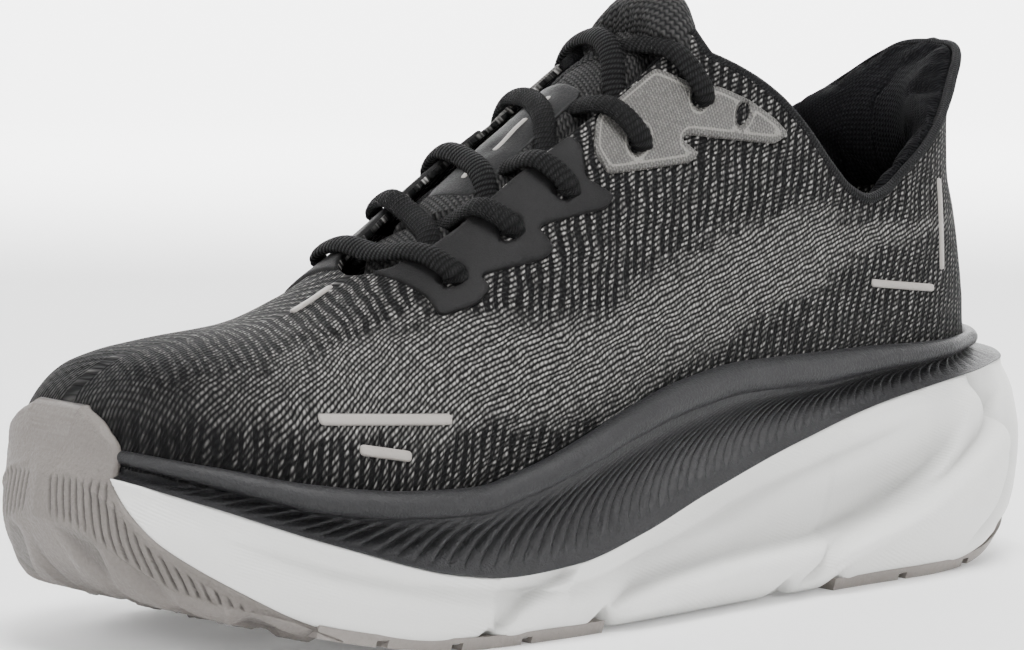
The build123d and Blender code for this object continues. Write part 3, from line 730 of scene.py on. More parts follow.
def make_frame():
    """The black frame: a thin lip on the foam, swept flutes in a hollow side, a round bead on top."""
    walk = np.linspace(0, GIRTH, COLUMNS * 2, endpoint=False)
    theta = theta_at(walk)
    y0 = -HALF + LENGTH * (1 - np.cos(theta)) / 2
    low = FOAM_TOP(y0) + 0.1
    top = FRAME_TOP(y0) + 0.8
    height = top - low
    normal = outline_normal(walk)
    bead = np.minimum(3.4 + 1.0 * smooth(y0, -60, 30) - 1.6 * smooth(y0, 95, 135), height * 0.27)
    mirror_walk = np.where(walk <= GIRTH / 2, walk, GIRTH - walk)
    near_guard = 1 - smooth(mirror_walk, 24, 44)
    heel_pull = 3.8 * smooth(y0, 92, 132)
    pitch = FLUTE_PITCH(y0)
    turns = np.interp(mirror_walk, _walk[:4001], np.concatenate([[0], np.cumsum(
        np.diff(_walk[:4001]) / FLUTE_PITCH(-HALF + LENGTH * (1 - np.cos(_theta[1:4001])) / 2))]))
    rows = []
    for v in np.linspace(0, 1, 76):
        z = low + (height - 1.7 * bead) * v
        hollow = -3.3 * np.sin(np.pi * v ** 1.35) ** 1.2 - 1.2 * v ** 3
        lip = 1.1 * np.exp(-(v / 0.09) ** 2)
        shift = FLUTE_LEAN(y0) * v + FLUTE_SWEEP(y0) * (1 - np.sqrt(1 - (v * 0.985) ** 2))
        phase = turns - shift / pitch
        groove = 1 - np.abs(np.sin(np.pi * phase)) ** 0.7
        strength = 1.5 * smooth(v, 0.08, 0.28) * (1 - smooth(v, 0.72, 0.95))
        strength = strength * (1 - 0.65 * smooth(y0, 85, 120))
        out = hollow + lip - groove * strength
        under_guard = behind_guard(walk, z)
        pulled = out - 1.2 * near_guard - heel_pull * smooth(v, 0.1, 0.9)
        out = pulled * (1 - under_guard) - 3.0 * under_guard
        rows.append(sole_level(theta, z) + normal * out[:, None])
    centre_z = top - bead
    skin_theta = np.linspace(0, 2 * np.pi, 2400)
    skin_y = -HALF + LENGTH * (1 - np.cos(skin_theta)) / 2
    tree = KDTree(len(skin_theta))
    for number, place in enumerate(on_level(skin_theta, FRAME_TOP(skin_y) - 2)):
        tree.insert(place, number)
    tree.balance()
    deepest = -1.2 - np.array([tree.find(place)[2] for place in sole_level(theta, centre_z)])
    for a in np.linspace(-1.15, math.pi * 0.95, 26):
        z = centre_z + bead * 1.02 * math.sin(a)
        out = bead * 1.15 * math.cos(a) - bead * 0.85
        under_guard = behind_guard(walk, z)
        ring = sole_level(theta, centre_z) * [[1, 1, 0]] + np.stack([0 * z, 0 * z, z], -1)
        out = out - heel_pull - 0.5 * near_guard * (1 - under_guard) - 4.0 * under_guard
        out = np.maximum(out, deepest)
        rows.append(ring + normal * out[:, None])
    inner = rows[-1] + normal * 2.0
    inner[:, 2] = low + 1
    rows.append(inner)
    faces = grid_faces(len(rows), len(walk), wrap_columns=True, wrap_rows=True)
    piece = make_mesh("frame_foam", np.array(rows), faces, "shoe", BLACK_FOAM)
    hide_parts("midsole_frame")
    return piece


# ---------------------------------------------------------------- upper
UPPER_COLUMNS, UPPER_ROWS = 760, 150
KNIT_THICK = 1.5
NOSE_FAN_Y, HEEL_FAN_Y = -52.0, 95.0     # ahead of and behind these, columns fan out to the top edge
NOSE_Y = -66.5
COLLAR_FRONT_Y = 27.0


def girth_height(y, z):
    """Height of a point measured up and over the skin at its station, so that knit rows don't stretch."""
    stations = np.linspace(-143.5, 140, 160)
    rises = 1 - (1 - np.linspace(0, 1, 120)) ** 2
    zz = FOOTBED(stations)[:, None] + (ridge(stations) - FOOTBED(stations))[:, None] * rises[None]
    xx = half_width(stations)[:, None] * arch(stations[:, None], zz)
    step = np.hypot(np.diff(zz, axis=1), np.diff(xx, axis=1))
    foot = FOOTBED(stations)[:, None]
    arc = np.concatenate([foot, foot + np.cumsum(step, axis=1)], axis=1)
    rise = np.clip((z - FOOTBED(y)) / (ridge(y) - FOOTBED(y)), 0, 1)
    fy = np.interp(y, stations, np.arange(len(stations)))
    fr = (1 - np.sqrt(1 - rise)) * (len(rises) - 1)
    iy, ir = np.clip(fy.astype(int), 0, len(stations) - 2), np.clip(fr.astype(int), 0, len(rises) - 2)
    ty, tr = fy - iy, fr - ir
    low = arc[iy, ir] * (1 - tr) + arc[iy, ir + 1] * tr
    high = arc[iy + 1, ir] * (1 - tr) + arc[iy + 1, ir + 1] * tr
    return low * (1 - ty) + high * ty


def topline():
    """The upper's top edge as (theta, z), from the throat's nose, along the outer side, to the heel."""
    nose = np.linspace(NOSE_Y + 0.3, -58, 24)
    ys = np.concatenate([[NOSE_Y], nose, np.linspace(-57.4, COLLAR_FRONT_Y, 140)])
    edge = on_top(ys, THROAT_HALF(ys))
    zs = edge[:, 2]
    chart = []
    for y, z in zip(ys, zs):
        front, back = front_of(z), HEEL_BACK(z)
        chart.append((math.acos(np.clip(1 - 2 * (y - front) / (back - front), -1, 1)), z))
    rim_y = np.concatenate([np.linspace(COLLAR_FRONT_Y + 1.5, 130, 150), np.linspace(130.5, 137.6, 40)])
    for y in rim_y:
        z = float(COLLAR(y)) - 0.4
        front, back = float(front_of(z)), float(HEEL_BACK(z))
        if y >= back - 0.02:
            break
        chart.append((math.acos(np.clip(1 - 2 * (y - front) / (back - front), -1, 1)), z))
    chart.append((math.pi, float(COLLAR(HEEL_BACK(138.0)))))
    return np.array(chart)


def make_upper():
    edge = topline()
    edge_points = on_level(edge[:, 0], edge[:, 1])
    length = np.concatenate([[0], np.cumsum(np.linalg.norm(np.diff(edge_points, axis=0), axis=1))])
    half = UPPER_COLUMNS // 2
    s = np.linspace(0, 1, half + 1)
    # bottom edge: even steps along the feather line; top edge: even steps along the topline
    base_theta = np.linspace(0, math.pi, 2000)
    base_z = FRAME_TOP(-HALF + LENGTH * (1 - np.cos(base_theta)) / 2) - 5
    base = on_level(base_theta, base_z)
    base_length = np.concatenate([[0], np.cumsum(np.linalg.norm(np.diff(base, axis=0), axis=1))])
    bottom_theta = np.interp(s * base_length[-1], base_length, base_theta)
    bottom_z = np.interp(bottom_theta, base_theta, base_z)
    # pair the two edges by y where possible, so that columns stand upright
    bottom_y = on_level(bottom_theta, bottom_z)[:, 1]
    top_y = edge_points[:, 1]
    order = np.maximum.accumulate(top_y + np.linspace(0, 0.01, len(top_y)))
    target = np.clip(bottom_y, order[0], order[-1])
    wanted = np.interp(target, order, length)
    nose_end = np.interp(NOSE_FAN_Y, order, length)
    ramp = np.interp(s, [0, s[np.argmax(bottom_y > NOSE_FAN_Y)]], [0, nose_end])
    top_length = np.where(bottom_y < NOSE_FAN_Y, ramp, wanted)
    turn = np.argmax(bottom_y > HEEL_FAN_Y)
    around_heel = np.interp(s, [s[turn], 1], [top_length[turn], length[-1]])
    top_length = np.where(bottom_y > HEEL_FAN_Y, around_heel, top_length)
    top_theta = np.interp(top_length, length, edge[:, 0])
    top_z = np.interp(top_length, length, edge[:, 1])
    v = np.linspace(0, 1, UPPER_ROWS)[:, None]
    theta = bottom_theta * (1 - v) + top_theta * v
    z = bottom_z * (1 - v) + top_z * v
    outer = on_level(theta, z)
    inner_side = on_level(2 * np.pi - theta[:, -2:0:-1], z[:, -2:0:-1])
    points = np.concatenate([outer, inner_side], axis=1)
    side = np.concatenate([np.ones(half + 1), -np.ones(half - 1)])
    y, z = points[..., 1], points[..., 2]
    toe_rows = 118 - np.hypot((z - ridge(y)), points[..., 0] - UPPER_MID(y))
    share = 1 - smooth(y, -112, -52)
    weave_up = girth_height(np.minimum(y, 88), z) * (1 - share) + toe_rows * share
    turned = np.clip((y - HEEL_REF_Y) / (HEEL_BACK(z) - HEEL_REF_Y), 0, 1)
    heel_run = np.where(y > HEEL_REF_Y, HEEL_REF_Y + 46 * np.arcsin(turned), y)
    weave = np.stack([heel_run, weave_up, side[None] + 0 * y], -1)
    band = curve([(-130, 61), (-85, 62), (-60, 66), (-30, 64), (0, 74), (30, 84), (60, 90),
                  (100, 92)])(heel_run)
    width = curve([(-130, 3), (-100, 9), (-60, 12), (0, 12), (45, 10), (70, 4), (100, 0.5)])(heel_run)
    ragged = wave_noise(heel_run / 5.0, weave_up / 2.2, 11) * 5
    zone = 1 - smooth(np.abs(z - band) + ragged, width - 3, width + 3)
    dim = 1 - 0.82 * (1 - smooth(y, -141, -86)) - 0.35 * smooth(y, 92, 118)
    dim = dim * (0.72 + 0.28 * smooth(z - FRAME_TOP(y), 2, 14))
    normal = grid_normals(points, wrap=True)
    outward = np.sign(np.sum(normal * (points - [0, 0, 60]), axis=-1, keepdims=True).mean())
    normal = normal * outward
    puff = 0.25 * wave_noise(heel_run / 16, weave_up / 12, 5)
    outer_points = points + normal * puff[..., None]
    inner_points = points - normal * KNIT_THICK
    rows, columns = points.shape[:2]
    verts = np.concatenate([outer_points.reshape(-1, 3), inner_points.reshape(-1, 3)])
    front_faces = grid_faces(rows, columns, wrap_columns=True)
    back_faces = front_faces[:, ::-1] + rows * columns
    c = np.arange(columns)
    c2 = (c + 1) % columns
    shift = rows * columns
    rim = np.stack([c + (rows - 1) * columns, c2 + (rows - 1) * columns, c2 + (rows - 1) * columns + shift,
                    c + (rows - 1) * columns + shift], -1)
    foot = np.stack([c2, c, c + shift, c2 + shift], -1)
    faces = np.concatenate([front_faces, back_faces, rim, foot])
    piece = make_mesh("knit_upper", verts, faces, "shoe", KNIT)
    add_attribute(piece, "weave", np.concatenate([weave.reshape(-1, 3)] * 2))
    add_attribute(piece, "zone", np.concatenate([zone.ravel()] * 2), "FLOAT")
    add_attribute(piece, "dim", np.concatenate([dim.ravel()] * 2), "FLOAT")
    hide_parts("upper_shell")
    return piece


# ---------------------------------------------------------------- the flank beside the throat, laid out flat
_flank_y = np.linspace(-76, 70, 147)
_phi = np.linspace(0, np.pi / 2, 180)


def section(y, phi):
    """Across and up, at this station, for an angle from the ridge (0) to the footbed (pi / 2)."""
    across = half_width(y) * np.sin(phi) ** (2 / ROUND_SIDE(y))
    rise = np.clip(np.cos(phi), 0, 1) ** (2 / ROUND_TOP(y))
    return across, FOOTBED(y) + (ridge(y) - FOOTBED(y)) * rise


_across, _height = section(_flank_y[:, None], _phi[None])
_steps = np.hypot(np.diff(_across, axis=1), np.diff(_height, axis=1))
_arc = np.concatenate([np.zeros((len(_flank_y), 1)), np.cumsum(_steps, axis=1)], axis=1)


def _row(y):
    f = np.clip(np.interp(y, _flank_y, np.arange(len(_flank_y))), 0, len(_flank_y) - 1.001)
    i = int(f)
    return i, f - i


def flank(y, arc, side=1, lift=0.0):
    """A point of the upper, from its station and the distance walked down from the ridge."""
    y, arc, lift = np.broadcast_arrays(np.asarray(y, float), np.asarray(arc, float), np.asarray(lift, float))
    phi = np.empty(y.shape)
    for k in np.ndindex(y.shape):
        i, t = _row(y[k])
        phi[k] = np.interp(arc[k], _arc[i] * (1 - t) + _arc[i + 1] * t, _phi)
    phi = np.clip(phi, 0.02, np.pi / 2 - 0.02)

    def skin(py, pp):
        across, height = section(py, pp)
        return np.stack([UPPER_MID(py) + side * across, py, height], -1)

    along = skin(y + 0.4, phi) - skin(y - 0.4, phi)
    down = skin(y, phi + 0.01) - skin(y, phi - 0.01)
    normal = unit(np.cross(along, down)) * (1 if side > 0 else -1)
    normal = normal * np.sign(normal[..., 2:3] + 1e-9)
    return skin(y, phi) + normal * lift[..., None]


def arc_of(y, z):
    i, t = _row(y)
    heights = _height[i] * (1 - t) + _height[i + 1] * t
    return float(np.interp(-z, -heights, _arc[i] * (1 - t) + _arc[i + 1] * t))


def arc_across(y, offset):
    i, t = _row(y)
    across = _across[i] * (1 - t) + _across[i + 1] * t
    return float(np.interp(offset, across, _arc[i] * (1 - t) + _arc[i + 1] * t))


def rounded_outline(corners, radius, step=0.7):
    """A closed outline with its corners cut round, in even steps."""
    corners = [np.array(c, float) for c in corners]
    dense = []
    count = len(corners)
    for i, corner in enumerate(corners):
        before, after = corners[i - 1], corners[(i + 1) % count]
        to_before, to_after = before - corner, after - corner
        r1 = min(radius, np.linalg.norm(to_before) * 0.45)
        r2 = min(radius, np.linalg.norm(to_after) * 0.45)
        a, b = corner + unit(to_before) * r1, corner + unit(to_after) * r2
        for t in np.linspace(0, 1, 6):
            dense.append(a * (1 - t) ** 2 + corner * 2 * t * (1 - t) + b * t * t)
    dense = np.array(dense + [dense[0]])
    walk = np.concatenate([[0], np.cumsum(np.linalg.norm(np.diff(dense, axis=0), axis=1))])
    even = np.linspace(0, walk[-1], max(12, int(walk[-1] / step)), endpoint=False)
    return np.stack([np.interp(even, walk, dense[:, k]) for k in (0, 1)], -1)


def inside(points, outline):
    x, y = points[:, 0][:, None], points[:, 1][:, None]
    a, b = outline, np.roll(outline, -1, axis=0)
    crosses = (a[None, :, 1] > y) != (b[None, :, 1] > y)
    share = (y - a[None, :, 1]) / (b[None, :, 1] - a[None, :, 1] + 1e-12)
    at = a[None, :, 0] + share * (b[None, :, 0] - a[None, :, 0])
    return (crosses & (x < at)).sum(1) % 2 == 1


def edge_distance(points, outline):
    a, b = outline, np.roll(outline, -1, axis=0)
    d = b - a
    t = np.clip(np.einsum("nkj,kj->nk", points[:, None] - a[None], d) / (d ** 2).sum(1)[None], 0, 1)
    return np.linalg.norm(points[:, None] - (a[None] + t[..., None] * d[None]), axis=2).min(1)


def make_film(name, outline, place, body, material, height=0.8, radius=0.7, root=-0.5, holes=(),
              spacing=1.3):
    """A thin raised patch of any outline, laid on a surface; place(u, v, lift) gives its points."""
    turn = np.linspace(0, 2 * np.pi, 20, endpoint=False)
    rings = [outline] + [np.array([(c[0] + r * math.cos(a), c[1] + r * math.sin(a)) for a in turn])
                         for c, r in holes]
    low, high = outline.min(0), outline.max(0)
    us, vs = np.meshgrid(np.arange(low[0], high[0], spacing), np.arange(low[1], high[1], spacing))
    us = us + (np.arange(us.shape[0]) % 2)[:, None] * spacing / 2
    fill = np.stack([us.ravel(), vs.ravel()], -1)
    fill = fill[inside(fill, outline)]
    if len(fill):
        keep = edge_distance(fill, outline) > spacing * 0.5
        for ring in rings[1:]:
            keep &= edge_distance(fill, ring) > spacing * 0.5
        fill = fill[keep]
    inner = []
    for band in (0.25, 0.7):
        shrunk = outline + inward(outline) * radius * band
        shrunk = shrunk[inside(shrunk, outline)]
        inner.append(shrunk[edge_distance(shrunk, outline) > radius * band * 0.6])
    points = np.concatenate(rings + inner + [fill])
    edges, start = [], 0
    for ring in rings:
        edges += [(start + k, start + (k + 1) % len(ring)) for k in range(len(ring))]
        start += len(ring)
    out = delaunay_2d_cdt([Vector(p) for p in points], edges, [], 0, 1e-5)
    flat = np.array([tuple(v) for v in out[0]])
    faces = np.array([f for f in out[2] if len(f) == 3])
    middle = flat[faces].mean(1)
    wanted = inside(middle, outline)
    for ring in rings[1:]:
        wanted &= ~inside(middle, ring)
    faces = faces[wanted]
    gap = edge_distance(flat, outline)
    for ring in rings[1:]:
        gap = np.minimum(gap, edge_distance(flat, ring))
    lift = height * np.sqrt(np.clip(1 - (1 - np.clip(gap / radius, 0, 1)) ** 2, 0, 1)) + 0.08
    top = place(flat[:, 0], flat[:, 1], lift)
    under = place(flat[:, 0], flat[:, 1], np.full(len(flat), root))
    used = {}
    for f in faces:
        for a, b in ((f[0], f[1]), (f[1], f[2]), (f[2], f[0])):
            used[(a, b)] = True
    walls = [(b, a, a + len(flat), b + len(flat)) for a, b in used if (b, a) not in used]
    sides = [(f[0], f[1], f[2], f[2]) for f in faces]
    backs = [(f[2] + len(flat), f[1] + len(flat), f[0] + len(flat), f[0] + len(flat)) for f in faces]
    piece = make_mesh(name, np.concatenate([top, under]), sides + backs + walls, body, material)
    add_attribute(piece, "weave", np.concatenate([np.stack([flat[:, 0], flat[:, 1], gap], -1)] * 2))
    face_outward(piece)
    return piece


def inward(outline):
    d = unit(np.roll(outline, -1, axis=0) - np.roll(outline, 1, axis=0))
    n = np.stack([-d[:, 1], d[:, 0]], -1)
    area = np.sum(outline[:, 0] * np.roll(outline[:, 1], -1) - np.roll(outline[:, 0], -1) * outline[:, 1])
    return n if area > 0 else -n


def face_outward(piece):
    """Drops loose points and turns every face outward."""
    bm = bmesh.new()
    bm.from_mesh(piece.data)
    bmesh.ops.delete(bm, geom=[v for v in bm.verts if not v.link_faces], context="VERTS")
    bmesh.ops.recalc_face_normals(bm, faces=bm.faces)
    bm.to_mesh(piece.data)
    bm.free()
    piece.data.polygons.foreach_set("use_smooth", [True] * len(piece.data.polygons))


def swell(piece, sewn, pressure, grow, cap, clear_of_lace=False):
    """Fills a padded piece by a cloth simulation, held where it is sewn, and keeps the result in its mesh."""
    count = len(piece.data.vertices)
    before = np.empty(count * 3)
    piece.data.vertices.foreach_get("co", before)
    held = piece.vertex_groups.new(name="sewn")
    held.add([int(i) for i in np.flatnonzero(sewn)], 1.0, "REPLACE")
    cloth = piece.modifiers.new("filling", "CLOTH")
    settings = cloth.settings
    settings.quality = 5
    settings.use_pressure = True
    settings.uniform_pressure_force = pressure
    settings.shrink_min = -grow
    settings.vertex_group_mass = "sewn"
    settings.effector_weights.gravity = 0
    cloth.collision_settings.use_collision = False
    cloth.point_cache.frame_start, cloth.point_cache.frame_end = 1, 20
    for frame_number in range(1, 21):
        bpy.context.scene.frame_set(frame_number)
    filled = piece.evaluated_get(bpy.context.evaluated_depsgraph_get()).data
    after = np.empty(count * 3)
    filled.vertices.foreach_get("co", after)
    piece.modifiers.remove(cloth)
    piece.vertex_groups.clear()
    bpy.context.scene.frame_set(1)
    before, after = before.reshape(-1, 3), after.reshape(-1, 3)
    move = after - before
    far = np.linalg.norm(move, axis=1, keepdims=True)
    move = move * np.minimum(1, cap * MM / np.maximum(far, 1e-9))
    if clear_of_lace:
        gap = lace_distance((before + move) / MM)[:, None]
        move = move * smooth(gap, 2.2, 3.2)
    piece.data.vertices.foreach_set("co", (before + move).ravel())
    piece.data.update()


# ---------------------------------------------------------------- lace
CORD_OVER, CORD_UNDER = 2.6, -4.2
CORD_WIDE, CORD_THICK = 3.1, 1.5


def crossing(side, row, over):
    here, step = EYELET_Y[row], EYELET_Y[row + 1] - EYELET_Y[row]
    rise, crest = (-1.9, -1.0) if over else (-4.6, -4.0)
    edge = float(THROAT_HALF(here + step / 2))
    out = (here + step, -side * EYELET_OFFSET, CORD_OVER)
    return [(here, side * EYELET_OFFSET, CORD_UNDER), (here + 0.12 * step, side * (edge - 3), CORD_UNDER),
            (here + 0.38 * step, side * 5.5, rise), (here + 0.62 * step, -side * 6.5, crest),
            (here + 0.86 * step, -side * (edge + 1.5), CORD_OVER), out]


def half_lace(side):
    route = [(EYELET_Y[0] - 1.2, side * 15, CORD_OVER - 0.4), (EYELET_Y[0], side * EYELET_OFFSET, CORD_OVER)]
    here = side
    for row in range(len(EYELET_Y) - 1):
        route += crossing(here, row, over=(row % 2 == 0) == (side > 0))
        here = -here
    tucked = (EYELET_Y[-1] + 2.5, here * 15, CORD_UNDER - 0.1)
    return route + [(EYELET_Y[-1], here * EYELET_OFFSET, CORD_UNDER), tucked]


def lace_line():
    """The lace's middle line and the skin's normal beside it, in even steps."""
    stations = half_lace(-1)[::-1] + [(EYELET_Y[0] - 3.4, 0, 0.2)] + half_lace(1)
    s = np.array(stations, float)
    points = lifted(s[:, 0], s[:, 1], s[:, 2])
    ups = unit(lifted(s[:, 0], s[:, 1], s[:, 2] + 1) - points)
    padded_points = np.concatenate([2 * points[:1] - points[1:2], points, 2 * points[-1:] - points[-2:-1]])
    fine, fine_up = [], []
    for i in range(len(points) - 1):
        p0, p1, p2, p3 = padded_points[i:i + 4]
        for t in np.linspace(0, 1, 14, endpoint=False):
            fine.append(0.5 * (2 * p1 + (p2 - p0) * t + (2 * p0 - 5 * p1 + 4 * p2 - p3) * t ** 2
                               + (3 * p1 - p0 - 3 * p2 + p3) * t ** 3))
            fine_up.append(ups[i] * (1 - t) + ups[i + 1] * t)
    fine.append(points[-1])
    fine_up.append(ups[-1])
    fine, fine_up = np.array(fine), np.array(fine_up)
    for _ in range(6):
        fine[1:-1] = fine[1:-1] * 0.5 + (fine[2:] + fine[:-2]) * 0.25
        fine_up[1:-1] = fine_up[1:-1] * 0.5 + (fine_up[2:] + fine_up[:-2]) * 0.25
    walk = np.concatenate([[0], np.cumsum(np.linalg.norm(np.diff(fine, axis=0), axis=1))])
    even = np.linspace(0, walk[-1], int(walk[-1] / 0.3))
    line = np.stack([np.interp(even, walk, fine[:, k]) for k in range(3)], -1)
    up = unit(np.stack([np.interp(even, walk, fine_up[:, k]) for k in range(3)], -1))
    return even, line, up


LACE_WALK, LACE_LINE, LACE_UP = lace_line()
LACE_TREE = KDTree(len(LACE_LINE))
for number, place in enumerate(LACE_LINE):
    LACE_TREE.insert(place, number)
LACE_TREE.balance()


def lace_distance(points):
    return np.array([LACE_TREE.find(p)[2] for p in np.asarray(points).reshape(-1, 3)])


def make_lace():
    tangent = unit(np.gradient(LACE_LINE, axis=0))
    flat = unit(np.cross(tangent, LACE_UP))
    for _ in range(30):
        flat[1:-1] = unit(flat[1:-1] * 0.5 + (flat[2:] + flat[:-2]) * 0.25)
    flat = unit(flat - tangent * np.sum(flat * tangent, -1, keepdims=True))
    up = np.cross(flat, tangent)
    around = np.linspace(0, 2 * np.pi, 28, endpoint=False)
    rib = np.abs(np.sin(np.pi * LACE_WALK / 1.55)) ** 0.55
    body = 1 + 0.05 * wave_noise(LACE_WALK / 9.0, 0 * LACE_WALK, 3)
    end = np.sqrt(np.clip(np.minimum(LACE_WALK, LACE_WALK[-1] - LACE_WALK) / 1.2, 0.02, 1))
    wide = CORD_WIDE * body * (0.9 + 0.1 * rib) * end
    thick = CORD_THICK * (2 - body) * (0.86 + 0.14 * rib) * end
    points = (LACE_LINE[:, None] + flat[:, None] * (wide[:, None] * np.cos(around))[..., None]
              + up[:, None] * (thick[:, None] * np.sin(around))[..., None])
    verts, faces = tube_grid(points)
    piece = make_mesh("lace_cord", verts, faces, "shoe", BLACK_CORD)
    add_weave(piece, LACE_WALK[:, None], (around * 2.6)[None])
    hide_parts("lace")
    return piece


# ---------------------------------------------------------------- tongue
TONGUE_START, TONGUE_END = -70.0, 24.5


def tongue_lift(y, offset):
    """How high the tongue's face stands, against the skin line across the throat."""
    edge = THROAT_HALF(y)
    reach = np.abs(offset)
    middle = 1 - smooth(reach, np.maximum(edge - 8, 0.1), edge + 0.5)
    middle = middle * smooth(y, -67, -56)
    puff = 0.7 * wave_noise(y / 11, offset / 9, 21, 2)
    return -8.6 + middle * (5.6 + puff)


def make_tongue():
    rows, columns = 190, 84
    y = np.linspace(TONGUE_START, TONGUE_END, rows)
    half = np.minimum(21.0, THROAT_HALF(y) + 6.5)
    v = np.linspace(-1, 1, columns)
    yy = np.repeat(y[:, None], columns, 1)
    oo = half[:, None] * v[None]
    lift = tongue_lift(yy, oo)
    for _ in range(3):
        gap = lace_distance(lifted(yy, oo, lift)).reshape(lift.shape)
        lift = lift - np.clip(2.3 - gap, 0, None) * 0.9
    blur = lift.copy()
    for _ in range(3):
        beside = blur[2:, 1:-1] + blur[:-2, 1:-1] + blur[1:-1, 2:] + blur[1:-1, :-2]
        blur[1:-1, 1:-1] = (blur[1:-1, 1:-1] * 4 + beside) / 8
    lift = np.minimum(blur, lift + 0.6)
    thickness = 4.6 - 1.5 * np.abs(v[None]) ** 4 + 0 * lift
    top, under = lifted(yy, oo, lift), lifted(yy, oo, lift - thickness)
    ring = np.concatenate([top, under[:, ::-1]], axis=1)
    verts, faces = tube_grid(ring)
    piece = make_mesh("tongue_pad", verts, faces, "tongue", TONGUE_KNIT)
    add_weave(piece, np.concatenate([yy, yy[:, ::-1]], 1), np.concatenate([oo, oo[:, ::-1]], 1))
    face_outward(piece)
    edge = (np.abs(v) > 0.93)[None] | (np.arange(rows) < 12)[:, None]
    sewn = np.concatenate([np.concatenate([edge, edge], 1).ravel(), [True, True]])
    swell(piece, sewn, 12, 0.05, 1.0, True)
    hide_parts("tongue")
    return piece


def make_tongue_roll():
    columns, around = 90, 44
    v = np.linspace(-1, 1, columns)
    a = np.linspace(0, 2 * np.pi, around, endpoint=False)
    size = (1 - np.abs(v) ** 5) ** 0.42
    size = np.maximum(size, 0.05)
    wrinkle = 1 + 0.03 * wave_noise(v * 6, 0 * v, 31)
    offset = 26.0 * v
    yy = 24.5 + 7.6 * (size * wrinkle)[:, None] * np.cos(a)[None] - 2.2 * np.abs(v[:, None]) ** 2.2
    lift = -6.6 + 6.8 * (size * wrinkle)[:, None] * np.sin(a)[None] - 0.6 * np.abs(v[:, None])
    points = lifted(yy, np.repeat(offset[:, None], around, 1), lift)
    verts, faces = tube_grid(points)
    piece = make_mesh("tongue_roll", verts, faces, "tongue", TONGUE_KNIT)
    add_weave(piece, (a * 6.2)[None], offset[:, None])
    face_outward(piece)
    seam = (np.cos(a) < -0.9)[None] | (np.abs(v) > 0.985)[:, None]
    swell(piece, np.concatenate([seam.ravel(), [True, True]]), 20, 0.07, 1.6, True)
    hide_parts("tongue_top")
    return piece


def make_label():
    """A smooth patch on the tongue, with three plain bars along it."""
    def place(u, v, lift):
        base = tongue_lift(u, v)
        base = np.maximum(base, -5.2)
        return lifted(u, v, base + 0.5 + lift)

    outline = rounded_outline([(-40, -8.5), (-38, 8.5), (-2, 9), (-2, -9)], 4)
    piece = make_film("label_patch", outline, place, "tongue", LABEL, 0.5, 0.6, -1.2)
    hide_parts("tongue_label")
    for number, (start, end) in enumerate([(-34, -27.5), (-24.5, -14), (-11, -6.5)]):
        bar = rounded_outline([(start, -0.9), (end, -0.9), (end, 0.9), (start, 0.9)], 0.6, 0.4)
        make_film(f"label_bar_{number + 1}", bar, lambda u, v, lift: place(u, v, lift + 0.45),
                  "tongue", TRIM, 0.25, 0.3, -0.2, spacing=0.8)


# ---------------------------------------------------------------- eyestays and marks
FRONT_TEETH = [(-63, 82), (-63.5, 78), (-54.6, 80.7), (-49.4, 84.2), (-50.4, 87.1), (-43.3, 88.7),
               (-35.2, 90.4), (-31, 92.8), (-32.5, 98), (-13.7, 101.7), (-10, 104.6), (-15.7, 109.1),
               (-12.3, 116.2)]
TOP_OUTLINE = [(-9.3, 117.2), (-10.4, 114.9), (-9.8, 109.8), (14.5, 112.0), (17.2, 114.0), (13.3, 117.6),
               (15.2, 118.7), (42.3, 115.6), (46.8, 118.0), (43.4, 121.8), (36.6, 126.6), (28.5, 130.2),
               (21.2, 131.0)]


def make_eyestays():
    for side, word in ((1, "lateral"), (-1, "medial")):
        def place(u, v, lift, side=side):
            return flank(u, v, side, lift)

        teeth = [(y, arc_of(y, z)) for y, z in FRONT_TEETH]
        rim = [(y, arc_across(y, float(THROAT_HALF(y)) + 0.5)) for y in (-13, -22, -34, -46, -56, -62, -65)]
        outline = rounded_outline([(y, a) for y, a in teeth] + rim, 1.6)
        holes = [((y, arc_across(y, EYELET_OFFSET)), 2.7) for y in EYELET_Y[:3]]
        piece = make_film(f"eyestay_front_{word}", outline, place, "shoe", FILM,
                          0.9, 0.6, -0.6, holes)
        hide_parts(f"eyestay_{word}_front")
        low = [(y, arc_of(y, z)) for y, z in TOP_OUTLINE]
        rim = [(y, arc_across(y, float(THROAT_HALF(y)) + 0.7)) for y in (14, 4, -5)]
        outline = rounded_outline(low + rim, 1.8)
        holes = [((y, arc_across(y, EYELET_OFFSET)), 2.7) for y in EYELET_Y[3:]]
        holes.append(((SPARE_EYELET[0], arc_across(SPARE_EYELET[0], SPARE_EYELET[1])), 2.4))
        piece = make_film(f"eyestay_top_{word}", outline, place, "shoe", REFLECTIVE, 1.0, 0.6,
                          -0.6, holes)
        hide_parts(f"eyestay_{word}_top")


def bar_outline(start, end, width):
    start, end = np.array(start, float), np.array(end, float)
    across = np.array([-(end - start)[1], (end - start)[0]])
    across = across / np.linalg.norm(across) * width / 2
    return rounded_outline([start - across, end - across, end + across, start + across], width * 0.4, 0.5)


